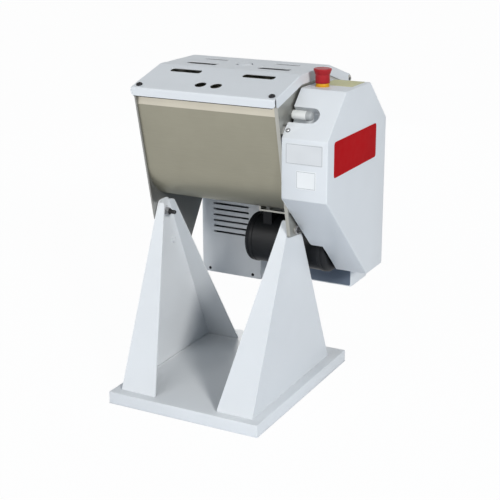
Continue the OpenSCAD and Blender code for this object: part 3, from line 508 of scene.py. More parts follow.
def squareHead(mesh, node, side):
    # draws the round head of a support out to a flat top, and its two flanges up to the corners
    low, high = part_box(node)
    pivot = middle("left_pivot_nut" if side < 0 else "right_pivot_nut")
    reach = high.z - pivot.z
    inner = (low.x if side < 0 else high.x) - side * standLook["sheet"] * mm
    foot = Vector((low.y - pivot.y, low.z - pivot.z))
    lean = math.atan2(-foot.x, -foot.y) - math.asin(reach / foot.length)
    look = {key: value * mm for key, value in headLook.items()}
    for way in (-1, 1):
        along = Vector((-way * math.sin(lean), math.cos(lean)))    # up a flange's edge
        out = Vector((way * math.cos(lean), math.sin(lean)))
        touch = out * reach    # where the edge meets the round head
        for v in mesh.verts:
            flat = Vector((v.co.y - pivot.y, v.co.z - pivot.z))
            climbed = (flat - touch).dot(along)
            away = (flat - touch).dot(out)
            onFlange = (v.co.x - inner) * -side > -look["near"]
            atEnd = look["endFrom"] < climbed < look["endTo"] and -look["deep"] < away < look["over"]
            onHead = abs(flat.length - reach) < look["onArc"] and flat.x * way >= -look["near"]
            if onFlange and atEnd:
                flat += along * look["grow"]
            elif onHead and climbed > look["endTo"]:
                angle = math.atan2(flat.x * way, flat.y)
                direction = Vector((way * math.sin(angle), math.cos(angle)))
                toSide = touch.dot(out) / max(direction.dot(out), 0.001)
                toTop = reach / max(direction.y, 0.001)
                corner = look["corner"]
                far = -math.log(math.exp(-toSide / corner) + math.exp(-toTop / corner)) * corner
                flat = direction * far
                climbed = (flat - touch).dot(along)
                least = look["grow"] - look["lap"]
                if onFlange and climbed < least:
                    flat += along * (least - climbed)
            v.co.y, v.co.z = pivot.y + flat.x, pivot.z + flat.y
    bmesh.ops.remove_doubles(mesh, verts=mesh.verts, dist=0.05 * mm)


def makeSupport(node, name, side):
    mesh = meshOf(node)
    squareHead(mesh, node, side)
    roundFolds(mesh, standLook["supportFold"])
    piece = addPiece(mesh, name + "Support", "frame", "coatedSheet", outward=False)
    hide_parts(node)
    low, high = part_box(node)
    outer, tip = (low.x, high.x) if side < 0 else (high.x, low.x)
    inner = outer - side * beadLook["offOuter"] * mm
    tip += side * beadLook["short"] * mm
    inset, foot = beadLook["inset"] * mm, low.z + beadLook["lift"] * mm
    weldBead(name + "FootWeld", Vector((inner, low.y + inset, foot)), Vector((inner, high.y - inset, foot)))
    off = beadLook["offFlange"] * mm
    for end, y in (("Front", low.y + off), ("Back", high.y - off)):
        weldBead(name + end + "Weld", Vector((inner, y, foot)), Vector((tip, y, foot)))


dress("base_tray", "baseTray", "coatedSheet", fold=standLook["trayFold"])
dress("base_stiffener", "baseChannel", "coatedSheet")
makeSupport("left_support", "left", -1)
makeSupport("right_support", "right", 1)
print("base and supports done")


# Pivot bolts, nuts and washers
pivotLook = {
    "boltRadius": 5.0,
    "pitch": 1.5,
    "threadDepth": 0.75,
    "headWide": 16.6,       # across flats
    "headHeight": 7.0,
    "shank": 6.0,           # plain length under the head
    "lap": 0.3,             # how far the thread starts inside the shank
    "nutWide": 17.0,
    "nutBore": 5.4,
    "chamfer": 1.1,
    "chamferShare": 0.985,  # radius of the turned face, as a share of half the width across flats
    "insertRing": 7.3,
    "washerBore": 5.6,
    "washerThick": 1.6,
}
nutLooks = {
    "left": {"insert": 3.4, "taller": 4.0, "washer": 12.5, "turned": "brightZinc"},
    "right": {"insert": 3.2, "taller": -3.2, "washer": 10.5, "turned": "dullZinc"},
}
tiltStopLook = {"rubberTo": 2.0, "edge": 0.8}    # the rubber ends this far inside the support's outer face
hairline = 0.01    # the least radius or step between the rings of a hexagon


def thread(mesh, start, length, finish):
    # a threaded end with its grooves, closed at both ends
    radius, pitch, depth = pivotLook["boltRadius"], pivotLook["pitch"], pivotLook["threadDepth"]
    profile = [(0, 0), (0, radius - depth)]
    for k in range(int((length - 1.2) / pitch)):
        profile += [(0.2 + k * pitch, radius - depth), (0.2 + (k + 0.4) * pitch, radius),
                    (0.2 + (k + 0.6) * pitch, radius)]
    profile += [(length - 0.8, radius - depth), (length, radius - 2 * depth), (length, 0)]
    lathe(mesh, profile, start, steps=32, finish=finish)


def hexPrism(mesh, at, width, height, bore=hairline, axis=(1, 0, 0), farChamfer=True, finish=0):
    # a hexagon of the given width across flats, with the turned chamfer that nuts and bolt heads have
    steps = 72
    half = width / 2
    corner = half / math.cos(math.pi / 6)
    cut = pivotLook["chamfer"]
    place = Matrix.Translation(at) @ axisTurn(axis)
    rings = []
    for index, kind in enumerate(("in", "face", "side", "side", "face", "in")):
        near = index < 3
        chamfered = near or farChamfer
        ring = []
        for k in range(steps):
            angle = 2 * math.pi * k / steps
            full = half / math.cos((angle + math.pi / 6) % (math.pi / 3) - math.pi / 6)
            radius = bore if kind == "in" else full
            if kind == "face" and chamfered:
                radius = min(full, half * pivotLook["chamferShare"])
            drop = 0
            if kind == "side":
                drop = cut * (full - half) / (corner - half) if chamfered else hairline
            x = drop if near else height - drop
            point = Vector((x, radius * math.cos(angle), radius * math.sin(angle))) * mm
            ring.append(mesh.verts.new(place @ point))
        rings.append(ring)
    for first, second in zip(rings, rings[1:] + rings[:1]):
        for k in range(steps):
            n = (k + 1) % steps
            mesh.faces.new((first[k], first[n], second[n], second[k])).material_index = finish


def lockNut(mesh, at, height, look):
    # a nut with a dark insert in its outer end, on a turned washer
    bore, thick, wide = pivotLook["washerBore"], pivotLook["washerThick"], look["washer"]
    lathe(mesh, [(0, bore), (0, wide - 0.3), (0.3, wide), (thick - 0.3, wide), (thick, wide - 0.3),
                 (thick, bore), (0, bore)], at, steps=48, finish=2)
    bore, ring = pivotLook["nutBore"], pivotLook["insertRing"]
    hexPrism(mesh, at + Vector((thick * mm, 0, 0)), pivotLook["nutWide"], height - thick, bore)
    first, last = height - 0.2, height + look["insert"]
    lathe(mesh, [(first, bore), (first, ring), (last - 1.2, ring), (last - 0.3, ring - 0.5),
                 (last, ring - 1.2), (last, bore), (first, bore)], at, steps=48, finish=1)
    bmesh.ops.remove_doubles(mesh, verts=mesh.verts, dist=touching)


def makeBolt(node, name):
    low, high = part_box(node)
    start = Vector((low.x, middle(node).y, middle(node).z))
    radius, head, lap = pivotLook["boltRadius"], pivotLook["headHeight"], pivotLook["lap"]
    plain = head + pivotLook["shank"]
    mesh = bmesh.new()
    hexPrism(mesh, start, pivotLook["headWide"], head, farChamfer=False)
    lathe(mesh, [(head - 0.5, 0), (head - 0.5, radius), (plain, radius), (plain, 0)], start, steps=32)
    thread(mesh, start + Vector(((plain - lap) * mm, 0, 0)), (high.x - low.x) / mm - plain + lap, finish=1)
    piece = addPiece(mesh, name, bodyOf[node], ("zincPlate", "darkThread"), 30.0)
    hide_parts(node)


def makeNut(side):
    node, look = side + "_pivot_nut", nutLooks[side]
    low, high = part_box(node)
    height = (high.x - low.x) / mm + look["taller"]
    mesh = bmesh.new()
    lockNut(mesh, Vector((low.x, middle(node).y, middle(node).z)), height, look)
    finishNames = ("nutZinc", "darkThread", look["turned"])
    piece = addPiece(mesh, side + "PivotNut", bodyOf[node], finishNames, 25.0)
    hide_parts(node)


def makeTiltStop():
    # the bumper is rubber outside the support; its nut inside is painted over
    mesh = meshOf("tilt_stop")
    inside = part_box("left_support")[0].x + tiltStopLook["rubberTo"] * mm
    for face in mesh.faces:
        face.material_index = 1 if face.calc_center_median().x > inside else 0
    finishNames = ("rubberBlack", "coatedSheet")
    piece = addPiece(mesh, "tiltStop", bodyOf["tilt_stop"], finishNames,
                     edge=tiltStopLook["edge"], outward=False)
    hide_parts("tilt_stop")


makeBolt("left_pivot_bolt", "leftPivotBolt")
makeBolt("right_pivot_bolt", "rightPivotBolt")
makeNut("left")
makeNut("right")
dress("left_pivot_washer", "leftPivotWasher", "zincPlate", edge=0.5)
makeTiltStop()
print("pivots done")


# Bowl with its end plates
bowlLook = {"bandFrom": 704.5}    # height where the bright rim band starts
cheekLook = {
    "drop": 8.0,                    # how far the cheeks stay below the top of the lid
    "lap": 3.0,                     # how far they reach down behind the rim
    "backs": (17, 131, 281, 356),   # their upper corners, back from the lid's front
    "falls": (31.5, 0, 0, 24),      # and how far each one lies lower
    "sides": (178.4, 181.6),
}
flangeLook = {"wide": 4.4, "thick": 1.6, "from": 181.5, "plateSide": 182, "under": 5, "long": 60}


def makeCheeks():
    # each end plate rises under the lid, out of sight
    low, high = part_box("lid_panel")
    front, top, rim = low.y / mm, high.z / mm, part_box("trough_shell")[1].z / mm
    look = cheekLook
    upper = [(front + back, top - fall - look["drop"]) for back, fall in zip(look["backs"], look["falls"])]
    outline = [(upper[0][0], rim - look["lap"]), *upper, (upper[-1][0], rim - look["lap"])]
    for side, name in ((-1, "leftCheek"), (1, "rightCheek")):
        mesh = bmesh.new()
        extrude(mesh, outline, *(side * x for x in look["sides"]))
        addPiece(mesh, name, "bowl", "plateSteel", 30.0, 0.3)


def makeFlange():
    # a narrow flange along the right end plate's front edge, from its upper corner to its foremost lower one
    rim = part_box("trough_shell")[1].z / mm
    look = flangeLook
    corners = [(v.co.y / mm, v.co.z / mm) for v in frame["nodes"]["right_end_plate"].data.vertices]
    upper = min(c for c in corners if c[1] < rim - look["under"])
    lower = min((c for c in corners if c[1] < upper[1] - look["long"]),
                key=lambda c: (c[0] - upper[0]) / (upper[1] - c[1]))
    outline = [upper, (upper[0] + look["thick"], upper[1]), (lower[0] + look["thick"], lower[1]), lower]
    mesh = bmesh.new()
    extrude(mesh, outline, look["from"], look["plateSide"] + look["wide"])
    addPiece(mesh, "frontFlange", "bowl", "plateSteel", 30.0, 0.4)


def makeBowl():
    mesh = meshOf("trough_shell")
    for face in mesh.faces:
        centre = face.calc_center_median()
        if centre.z > bowlLook["bandFrom"] * mm and centre.y < middle("trough_shell").y:
            face.material_index = 1
    piece = addPiece(mesh, "bowlShell", "bowl", ("bowlSteel", "bandSteel"), 30.0, outward=False)
    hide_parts("trough_shell")


makeBowl()
# painted shade: the left end plate takes the darker copy of the plate steel, for the shade it lies in
dress("left_end_plate", "leftEndPlate", "darkSteel")
dress("right_end_plate", "rightEndPlate", "plateSteel")
makeCheeks()
makeFlange()
dress("left_bearing_housing", "leftBearingHousing", "zincPlate", edge=0.5)
dress("right_bearing_housing", "rightBearingHousing", "zincPlate", edge=0.5)
dress("shaft_bushes", "shaftBushes", "bearingBronze", edge=0.3)
dress("shaft_seals", "shaftSeals", "rubberBlack", edge=0.4)
dress("lid_hinge_rod", "hingeRod", "darkThread", edge=0.6)
print("bowl done")


# Lid
lidLook = {
    "fold": 2.2,
    "slots": [{"fromFront": 103.2, "reach": 12, "wider": 1.4, "rise": 0.275},
              {"fromFront": 175.0, "reach": 14, "wider": 2.3, "rise": 0},
              {"fromFront": 243.0, "reach": 12, "wider": 1.7, "rise": 0}],
    "slotSpan": (40, 160),      # the slots lie between these distances from the middle
    "slotDepth": 20,            # and no deeper than this below the top
    "capPlace": 208.0,          # back from the front
    "slope": (36, 131),         # rise and run of the front panel
}
# painted shadow: a black strip for the shade in the gap under the lid's front lip
lipShadowLook = {"deep": 2.0, "thick": 1.4, "half": 178, "back": 0.2, "lap": 0.4}
lidScrewLook = {"radius": 7.5, "height": 4.6, "socket": 2.6, "socketDeep": 2.4, "brim": 0.8, "sink": 1.4}


def widenSlots(mesh):
    # opens the slots to the width they have on the real lid, each about its own middle
    mesh.normal_update()
    low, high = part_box("lid_panel")
    nearest, farthest = lidLook["slotSpan"]
    deepest = high.z - lidLook["slotDepth"] * mm
    onWalls = [v for v in mesh.verts if nearest < abs(v.co.x / mm) < farthest and v.co.z > deepest
               and any(abs(f.normal.z) < 0.5 for f in v.link_faces)]
    for row in lidLook["slots"]:
        for v in onWalls:
            off = v.co.y / mm - (low.y / mm + row["fromFront"])
            if abs(off) < row["reach"]:
                v.co.y += off * (row["wider"] - 1) * mm
                v.co.z += off * (row["wider"] - 1) * row["rise"] * mm


def makeLidPanel():
    mesh = stripMesh("lid_panel", lidLook["fold"])
    widenSlots(mesh)
    roundFolds(mesh, lidLook["fold"], lidLook["fold"])
    piece = addPiece(mesh, "lidPanel", "lid", "coatedSheet", outward=False)
    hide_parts("lid_panel")


def makeLidCap():
    # a pale cap set into the round hole
    low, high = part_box("lid_panel")
    mesh = bmesh.new()
    profile = [(-4, 0), (-4, 15), (-3, 17), (-0.4, 17), (0.4, 16.4), (1.2, 13), (1.7, 8), (1.9, 0)]
    lathe(mesh, profile, Vector((0, low.y + lidLook["capPlace"] * mm, high.z)), (0, 0, 1), steps=64)
    addPiece(mesh, "lidCap", "lid", "coatedSheet", 30.0)


def makeLipShadowStrip():
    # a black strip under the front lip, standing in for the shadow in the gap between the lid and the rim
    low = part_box("lid_panel")[0]
    lip = [v.co.z / mm for v in frame["nodes"]["lid_panel"].data.vertices if v.co.y < low.y + 0.5 * mm]
    front, head = low.y / mm + lipShadowLook["back"], min(lip) + lipShadowLook["lap"]
    back, foot = front + lipShadowLook["thick"], head - lipShadowLook["deep"]
    mesh = bmesh.new()
    extrude(mesh, [(front, head), (back, head), (back, foot), (front, foot)],
            -lipShadowLook["half"], lipShadowLook["half"])
    addPiece(mesh, "lipShadowStrip", "lid", "rubberBlack", 30.0)


def makeLidScrews():
    # two domed screws with a round socket, square to the front panel
    low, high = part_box("lid_screws")
    slope = math.atan2(*lidLook["slope"])
    out = Vector((0, -math.sin(slope), math.cos(slope)))
    radius, height, socket, brim = (lidScrewLook[k] for k in ("radius", "height", "socket", "brim"))
    floor = height - lidScrewLook["socketDeep"]
    dome = [(0, 0), (0, radius), (brim, radius)]
    edge = socket + 0.6
    for k in range(1, 9):
        angle = math.pi / 2 * k / 9
        dome.append((brim + (height - brim) * math.sin(angle), edge + (radius - edge) * math.cos(angle)))
    dome += [(height, socket + 0.3), (height - 0.3, socket), (floor, socket), (floor, 0)]
    mesh = bmesh.new()
    for x in (low.x + radius * mm, high.x - radius * mm):
        spot = Vector((x, middle("lid_screws").y, middle("lid_screws").z))
        lathe(mesh, dome, spot - out * lidScrewLook["sink"] * mm, out, steps=48)
    piece = addPiece(mesh, "lidScrews", "lid", "screwBlack", 40.0)
    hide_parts("lid_screws")


makeLidPanel()
makeLidCap()
dress("lid_knuckles", "lidHinges", "zincPlate", edge=0.4)
makeLipShadowStrip()
dress("lid_feet", "lidFeet", "rubberBlack", edge=0.5)
makeLidScrews()
print("lid done")


# Rear casing and louvred box
casingLook = {
    "fold": 2.4,
    "frontScrew": 4.0,              # radius of the two screws on the louvred box
    "backScrew": 3.4,
    "backGap": 12,                  # from the casing's sides to the back screws
    "backRows": (12, 210, 405),     # their heights above its foot
}


def screwHead(mesh, at, axis, radius, height=2.2):
    # a pan head with a cross recess
    def cross(angle, index):
        return 0.45 + 0.55 * abs(math.cos(2 * angle)) ** 6 if index in (5, 6) else 1.0

    floor = height * 0.35
    profile = [(-1.0, 0), (-1.0, radius), (0.4, radius), (height * 0.75, radius * 0.82),
               (height, radius * 0.58), (height, radius * 0.5), (floor, radius * 0.4), (floor, 0)]
    lathe(mesh, profile, at, axis, steps=32, shape=cross)


def makeCasingScrews():
    low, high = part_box("casing_screws")
    radius = casingLook["frontScrew"]
    boxFront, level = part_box("louvre_box")[0].y, middle("casing_screws").z
    mesh = bmesh.new()
    for x in (low.x + radius * mm, high.x - radius * mm):
        screwHead(mesh, Vector((x, boxFront, level)), (0, -1, 0), radius)
    piece = addPiece(mesh, "casingScrews", "bowl", "screwBlack", 35.0)
    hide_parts("casing_screws")


def makeBackScrews():
    low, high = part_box("rear_casing")
    gap = casingLook["backGap"] * mm
    mesh = bmesh.new()
    for x in (low.x + gap, (low.x + high.x) / 2, high.x - gap):
        for row in casingLook["backRows"]:
            screwHead(mesh, Vector((x, high.y, low.z + row * mm)), (0, 1, 0), casingLook["backScrew"])
    addPiece(mesh, "backScrews", "bowl", "zincPlate", 35.0)


dress("rear_casing", "rearCasing", "coatedSheet", fold=casingLook["fold"])
dress("louvre_box", "louvreBox", "coatedSheet", fold=casingLook["fold"])
dress("contactor", "contactorBlock", "housingPlastic", edge=0.6)
dress("cable_gland", "cableGland", "housingPlastic", edge=0.4)
makeCasingScrews()
makeBackScrews()
print("casing done")


# Drive cover, grip and plates
coverLook = {"fold": 2.2, "slope": (94.5, 97)}    # slope: rise and run of the panel with the grip
gripLook = {"short": 9.0, "endRound": 4.0}
coverScrewLook = {"radius": 4.4, "height": 2.8, "ring": 5.4, "ringHeight": 0.9, "sink": 1.2, "inset": 3.0}
plateLooks = {
    "upperLabel": {"left": 9, "top": 104, "width": 90, "height": 47, "thick": 0.5, "corner": 3,
                   "margin": 1.6, "border": 1.0, "face": "labelGrey"},
    "lowerLabel": {"left": 35, "top": 164, "width": 48, "height": 41, "thick": 0.5, "corner": 2,
                   "margin": 1.4, "border": 1.0, "face": "labelWhite"},
    # painted shade: a dark plate where the rear casing's front lies in the shadow of the motor and cover
    "casingShadePanel": {"left": 100, "foot": 3, "width": 114, "height": 117, "thick": 0.8, "corner": 4},
    "sidePlate": {"front": 35, "top": 101, "width": 240, "height": 81, "thick": 1.2, "corner": 7},
    "topLabel": {"left": 21, "front": 158, "width": 76, "height": 75, "thick": 0.5, "corner": 3,
                 "margin": 2.0, "border": 1.2},
}


def makeGrip():
    # a round bar with a rounded inner end
    low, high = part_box("tilt_grip")
    radius, length = (high.z - low.z) / 2 / mm, (high.x - low.x) / mm
    short, turn = gripLook["short"], gripLook["endRound"]
    profile = [(short, 0), (short, radius - turn)]
    for k in range(1, 7):
        angle = math.pi / 2 * k / 6
        profile.append((short + turn * (1 - math.cos(angle)), radius - turn + turn * math.sin(angle)))
    profile += [(length - 0.3, radius), (length, radius - 0.4), (length, 0)]
    mesh = bmesh.new()
    lathe(mesh, profile, Vector((low.x, middle("tilt_grip").y, middle("tilt_grip").z)), steps=64)
    piece = addPiece(mesh, "tiltGrip", "bowl", "gripNylon", 30.0)
    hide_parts("tilt_grip")


def makeCoverScrew():
    # a screw on a dark ring, square to the sloping panel
    low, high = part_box("cover_screws")
    slope = math.atan2(*coverLook["slope"])
    out = Vector((0, -math.sin(slope), math.cos(slope)))
    inset = coverScrewLook["inset"] * mm
    face = Vector((middle("cover_screws").x, low.y + inset, high.z - inset))
    spot = face - out * coverScrewLook["sink"] * mm
    ring, tall = coverScrewLook["ring"], coverScrewLook["ringHeight"]
    mesh = bmesh.new()
    screwHead(mesh, spot, out, coverScrewLook["radius"], coverScrewLook["height"])
    profile = [(-0.6, 0), (-0.6, ring), (tall - 0.4, ring), (tall, ring - 0.4), (tall, 0)]
    lathe(mesh, profile, spot, out, steps=48, finish=1)
    piece = addPiece(mesh, "coverScrew", "bowl", ("zincPlate", "darkThread"), 35.0)
    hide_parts("cover_screws")


def toMiddle(look, side, size="width"):
    # from the side that a plate is measured from to the plate's middle, in metres
    return (look[side] + look[size] / 2) * mm


def makePlates():
    low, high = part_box("drive_cover")
    for name in ("upperLabel", "lowerLabel"):
        look = plateLooks[name]
        centre = Vector((low.x + toMiddle(look, "left"), low.y, high.z - toMiddle(look, "top", "height")))
        plate(name, "bowl", (look["face"], "labelEdge"), look, centre, (1, 0, 0), (0, 0, 1))
    look = plateLooks["sidePlate"]
    centre = Vector((high.x, low.y + toMiddle(look, "front"), high.z - toMiddle(look, "top", "height")))
    plate("sidePlate", "bowl", "plateRed", look, centre, (0, 1, 0), (0, 0, 1))
    # a dark plate low on the rear casing's front that paints the shade cast there by the motor and the cover,
    # its left counted from the middle of the mixer
    look, casing = plateLooks["casingShadePanel"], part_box("rear_casing")[0]
    centre = Vector((toMiddle(look, "left"), casing.y, casing.z + toMiddle(look, "foot", "height")))
    plate("casingShadePanel", "bowl", "sillGrey", look, centre, (1, 0, 0), (0, 0, 1))
    look = plateLooks["topLabel"]
    centre = Vector((low.x + toMiddle(look, "left"), low.y + toMiddle(look, "front", "height"), high.z))
    plate("topLabel", "bowl", ("labelBeige", "labelEdge"), look, centre, (1, 0, 0), (0, 1, 0))


dress("drive_cover", "driveCover", "coatedSheet", fold=coverLook["fold"])
dress("grip_pocket", "gripPocket", "coatedSheet")
makeGrip()
dress("grip_end_cap", "gripEndCap", "capPlastic", edge=0.3)
dress("cover_brackets", "coverTabs", "zincPlate")
makeCoverScrew()
makePlates()
print("cover and plates done")


# Emergency stop
stopLook = {
    "rim": 20.5,
    "neck": 16.5,
    "boss": 13.0,
    "taller": 5.0,
    "collar": 15.0,
    "collarHeight": 7.6,
    "skirtGap": 0.5,        # from the collar's top to the skirt
    "ribs": 36,
    "ribDepth": 0.012,      # as a share of the radius
}


def stopFoot():
    # the middle of the head, at the height of the cover's top
    centre = middle("estop_head")
    return Vector((centre.x, centre.y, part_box("estop_collar")[0].z))


def makeStopHead():
    low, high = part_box("estop_head")
    foot = stopFoot()
    base, rise = (low.z - foot.z) / mm, (high.z - foot.z) / mm + stopLook["taller"]
    rim, neck, boss = stopLook["rim"], stopLook["neck"], stopLook["boss"]
    skirt = stopLook["collarHeight"] + stopLook["skirtGap"]
    plunger = [(base, 0), (base, boss - 0.6), (base + 0.6, boss), (skirt + 5.4, boss)]
    hollow = [(skirt + 5.8, neck - 1.1), (skirt + 0.3, neck - 1.1), (skirt, neck - 0.8)]
    outside = [(skirt, neck - 0.3), (skirt + 0.4, neck), (rise - 14.5, neck - 0.3),
               (rise - 13.6, neck - 0.3), (rise - 13.2, neck + 0.2), (rise - 9.4, neck + 1.6),
               (rise - 6.2, rim - 1.2), (rise - 4.4, rim - 0.4)]
    edge = [(rise - 2.8, rim), (rise - 1.6, rim), (rise - 0.8, rim - 0.3)]
    top = [(rise - 0.2, rim - 1.0), (rise, rim - 2.0), (rise - 0.4, rim - 4), (rise - 0.8, rim - 12),
           (rise - 0.9, 0)]
    below = plunger + hollow + outside

    def ribbed(angle, index):
        # small ribs round the edge of the rim
        if not len(below) <= index < len(below + edge):
            return 1.0
        return 1 - stopLook["ribDepth"] * (0.5 + 0.5 * math.cos(angle * stopLook["ribs"]))

    mesh = bmesh.new()
    lathe(mesh, below + edge + top, foot, (0, 0, 1), steps=144, shape=ribbed)
    piece = addPiece(mesh, "stopHead", "estop_head", "stopRed", 40.0)
    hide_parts("estop_head")


def makeStopCollar():
    tall, outer, inner = stopLook["collarHeight"], stopLook["collar"], stopLook["boss"] + 0.35
    profile = [(0, inner), (0, outer + 1.2), (1.2, outer + 1.2), (1.6, outer + 0.8), (1.8, outer - 0.3),
               (2.3, outer - 0.3), (2.6, outer), (tall - 1.0, outer), (tall - 0.3, outer - 0.3),
               (tall, outer - 0.8), (tall, inner), (0, inner)]
    mesh = bmesh.new()
    lathe(mesh, profile, stopFoot(), (0, 0, 1), steps=96)
    bmesh.ops.remove_doubles(mesh, verts=mesh.verts, dist=touching)
    piece = addPiece(mesh, "stopCollar", "bowl", "collarYellow", 40.0)
    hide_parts("estop_collar")


makeStopHead()
makeStopCollar()
dress("estop_body", "stopBody", "housingPlastic", edge=0.5)
dress("estop_plunger", "stopPlunger", "housingPlastic", edge=0.3)
print("emergency stop done")


# Motor
motorLook = {
    "longer": 6.0,          # how much further left the barrel starts
    "ring": 8.0,            # width of the raised ring at each end
    "step": 1.5,
    "thick": 22.5,          # from the barrel's outside to its hollow
    "chamfer": 0.8,
}
bellLook = {
    "deep": 14.0,
    "bore": 9.55,
    "endRound": 9.0,
    "groove": 1.3,
    "boltCircle": 46.0,
    "boltWide": 7,
    "boltHeight": 3,
}


def makeBarrel(centre, radius):
    low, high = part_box("motor_housing")
    longer, ring, cut = motorLook["longer"], motorLook["ring"], motorLook["chamfer"]
    length = (high.x - low.x) / mm + longer
    inner, waist = radius - motorLook["thick"], radius - motorLook["step"]
    near = [(0, inner), (0, radius - cut), (cut, radius), (ring - cut, radius), (ring, radius - cut),
            (ring, waist)]
    far = [(length - along, r) for along, r in near[::-1]]
    mesh = bmesh.new()
    lathe(mesh, near + far + near[:1], Vector((low.x - longer * mm, centre.y, centre.z)), steps=96)
    bmesh.ops.remove_doubles(mesh, verts=mesh.verts, dist=touching)
    piece = addPiece(mesh, "motorBarrel", "bowl", "motorPaint", 35.0)
    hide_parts("motor_housing")


def makeBell(node, name, end, way, centre, radius):
    # a dished end with a rounded shoulder and four bolts
    look = bellLook
    cut, deep, bore, turn = motorLook["chamfer"], look["deep"], look["bore"], look["endRound"]
    waist = radius - look["groove"]
    profile = [(0.6, bore), (0.6, 20), (0, 21), (0, 30), (2.0, 32), (2.0, 41), (cut, 43),
               (cut, radius - turn - 1)]
    for k in range(1, 9):
        angle = math.pi / 2 * k / 8
        profile.append((cut + turn * (1 - math.cos(angle)), radius - cut - turn * (1 - math.sin(angle))))
    profile += [(deep - 1.6, radius - cut), (deep - 1.2, waist), (deep, waist), (deep, bore), (0.6, bore)]
    mesh = bmesh.new()
    lathe(mesh, profile, Vector((end, centre.y, centre.z)), (way, 0, 0), steps=96)
    bmesh.ops.remove_doubles(mesh, verts=mesh.verts, dist=touching)
    circle = look["boltCircle"] * mm
    for k in range(4):
        angle = math.pi / 4 + k * math.pi / 2
        spot = Vector((end + way * 0.9 * mm, centre.y + circle * math.cos(angle),
                       centre.z + circle * math.sin(angle)))
        hexPrism(mesh, spot, look["boltWide"], look["boltHeight"], axis=(way, 0, 0), finish=1)
    piece = addPiece(mesh, name, "bowl", ("castBlack", "darkThread"), 35.0)
    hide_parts(node)


def makeMotor():
    low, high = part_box("motor_housing")
    centre, radius = middle("motor_rear_bell"), (high.z - low.z) / 2 / mm
    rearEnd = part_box("motor_rear_bell")[0].x - motorLook["longer"] * mm
    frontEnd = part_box("motor_front_bell")[1].x
    makeBarrel(centre, radius)
    makeBell("motor_rear_bell", "motorRearBell", rearEnd, 1, centre, radius)
    makeBell("motor_front_bell", "motorFrontBell", frontEnd, -1, centre, radius)


makeMotor()
dress("motor_feet", "motorFeet", "castBlack", edge=0.8)
dress("motor_bracket", "motorBracket", "plateSteel")
dress("motor_bolts", "motorBolts", "zincPlate", edge=0.4)
print("motor done")


# Drive train and agitator, seen when the bowl tilts, the lid opens or the cover comes off
driveFinishes = {
    "agitator_shaft": "groundSteel", "agitator_bars": "groundSteel", "main_gear": "zincPlate",
    "layshaft": "groundSteel", "pinion": "groundSteel", "large_pulley": "castBlack",
    "motor_shaft": "groundSteel", "motor_pulley": "castBlack", "motor_fan": "housingPlastic",
    "drive_belt": "rubberBlack", "layshaft_housing": "zincPlate", "layshaft_bushes": "bearingBronze",
}


def makeDrive():
    for node, finish in driveFinishes.items():
        name = "drive" + "".join(word.capitalize() for word in node.split("_"))
        dress(node, name, finish, smooth=40.0)


makeDrive()
print("drive done")


# Studio: pale floor, white surroundings and soft light
studioLook = {
    "floorSize": 60.0,
    "floorColour": (0.76, 0.79, 0.84),
    "floorWhite": 0.975,       # how much of the floor is plain white to the camera; the rest takes shadows
    "ambient": 0.17,
    "ambientColour": (0.55, 0.77, 1.0),
    "keyStrength": 2.05,
    "keyColour": (1.0, 0.985, 0.955),
    "keyAngle": 10.0,
    "keyTravel": (-35, 26, -20),
    "lampTarget": (0, 0, 0.4),
}
areaLooks = {
    "fill": {"power": 52.0, "size": 2.6, "place": (-0.6, -3.5, 1.9), "colour": (1.0, 0.985, 0.97)},
    "side": {"power": 10.5, "size": 2.0, "place": (2.5, -1.9, 1.0), "colour": (0.70, 0.85, 1.0)},
    "rear": {"power": 14.0, "size": 0.7, "place": (-1.4, 3.0, 0.3), "colour": (1.0, 0.99, 0.97)},
    "overhead": {"power": 5.0, "size": 2.2, "place": (0.2, -0.4, 3.6), "colour": (0.93, 0.97, 1.0)},
}


def seenDirectly(owner):
    # 1 for rays from the camera, or reflected or refracted on their way to it
    path = addNode(owner, "ShaderNodeLightPath")
    seen = path.outputs["Is Camera Ray"]
    for kind in ("Is Glossy Ray", "Is Transmission Ray"):
        either = addNode(owner, "ShaderNodeMath", operation="MAXIMUM")
        join(owner, seen, either.inputs[0])
        join(owner, path.outputs[kind], either.inputs[1])
        seen = either.outputs[0]
    return seen


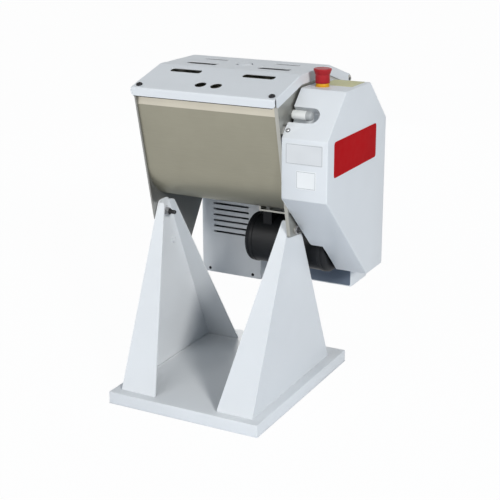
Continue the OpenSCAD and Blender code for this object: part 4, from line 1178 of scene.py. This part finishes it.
def makeFloor():
    half = studioLook["floorSize"] / 2
    corners = ((-half, -half, 0), (half, -half, 0), (half, half, 0), (-half, half, 0))
    mesh = bmesh.new()
    mesh.faces.new([mesh.verts.new(corner) for corner in corners])
    data = bpy.data.meshes.new("floor")
    mesh.to_mesh(data)
    mesh.free()
    paper = bpy.data.materials.new("floorPaper")
    paper.use_nodes = True
    paper.node_tree.nodes.clear()
    out = addNode(paper, "ShaderNodeOutputMaterial")
    matt = addNode(paper, "ShaderNodeBsdfDiffuse", {"Color": (*studioLook["floorColour"], 1)})
    glow = addNode(paper, "ShaderNodeEmission", {"Strength": 1.0})
    blend = addNode(paper, "ShaderNodeMixShader")
    part = addNode(paper, "ShaderNodeMath", {1: studioLook["floorWhite"]}, operation="MULTIPLY")
    join(paper, seenDirectly(paper), part.inputs[0])
    join(paper, part.outputs[0], blend.inputs["Fac"])
    join(paper, matt.outputs["BSDF"], blend.inputs[1])
    join(paper, glow.outputs["Emission"], blend.inputs[2])
    join(paper, blend.outputs["Shader"], out.inputs["Surface"])
    data.materials.append(paper)
    floor = bpy.data.objects.new("floor", data)
    bpy.context.scene.collection.objects.link(floor)


def makeSurroundings():
    # white where the camera sees them, and a soft blue light for everything else
    world = bpy.data.worlds.new("surroundings")
    bpy.context.scene.world = world
    world.use_nodes = True
    world.node_tree.nodes.clear()
    out = addNode(world, "ShaderNodeOutputWorld")
    soft = addNode(world, "ShaderNodeBackground", {"Color": (*studioLook["ambientColour"], 1),
                                                   "Strength": studioLook["ambient"]})
    white = addNode(world, "ShaderNodeBackground", {"Color": (1, 1, 1, 1), "Strength": 1.0})
    blend = addNode(world, "ShaderNodeMixShader")
    join(world, seenDirectly(world), blend.inputs["Fac"])
    join(world, soft.outputs["Background"], blend.inputs[1])
    join(world, white.outputs["Background"], blend.inputs[2])
    join(world, blend.outputs["Shader"], out.inputs["Surface"])


def aim(lamp, travel):
    lamp.rotation_euler = Vector(travel).to_track_quat("-Z", "Y").to_euler()


def makeLamps():
    key = bpy.data.lights.new("key", "SUN")
    key.energy = studioLook["keyStrength"]
    key.angle = math.radians(studioLook["keyAngle"])
    key.color = studioLook["keyColour"]
    keyLamp = bpy.data.objects.new("key", key)
    aim(keyLamp, studioLook["keyTravel"])
    bpy.context.scene.collection.objects.link(keyLamp)
    for name, look in areaLooks.items():
        data = bpy.data.lights.new(name, "AREA")
        data.energy = look["power"]
        data.size = look["size"]
        data.color = look["colour"]
        lamp = bpy.data.objects.new(name, data)
        lamp.location = look["place"]
        aim(lamp, Vector(studioLook["lampTarget"]) - Vector(look["place"]))
        bpy.context.scene.collection.objects.link(lamp)


makeFloor()
makeSurroundings()
makeLamps()
bpy.context.scene.view_settings.view_transform = "Standard"
print("studio done")
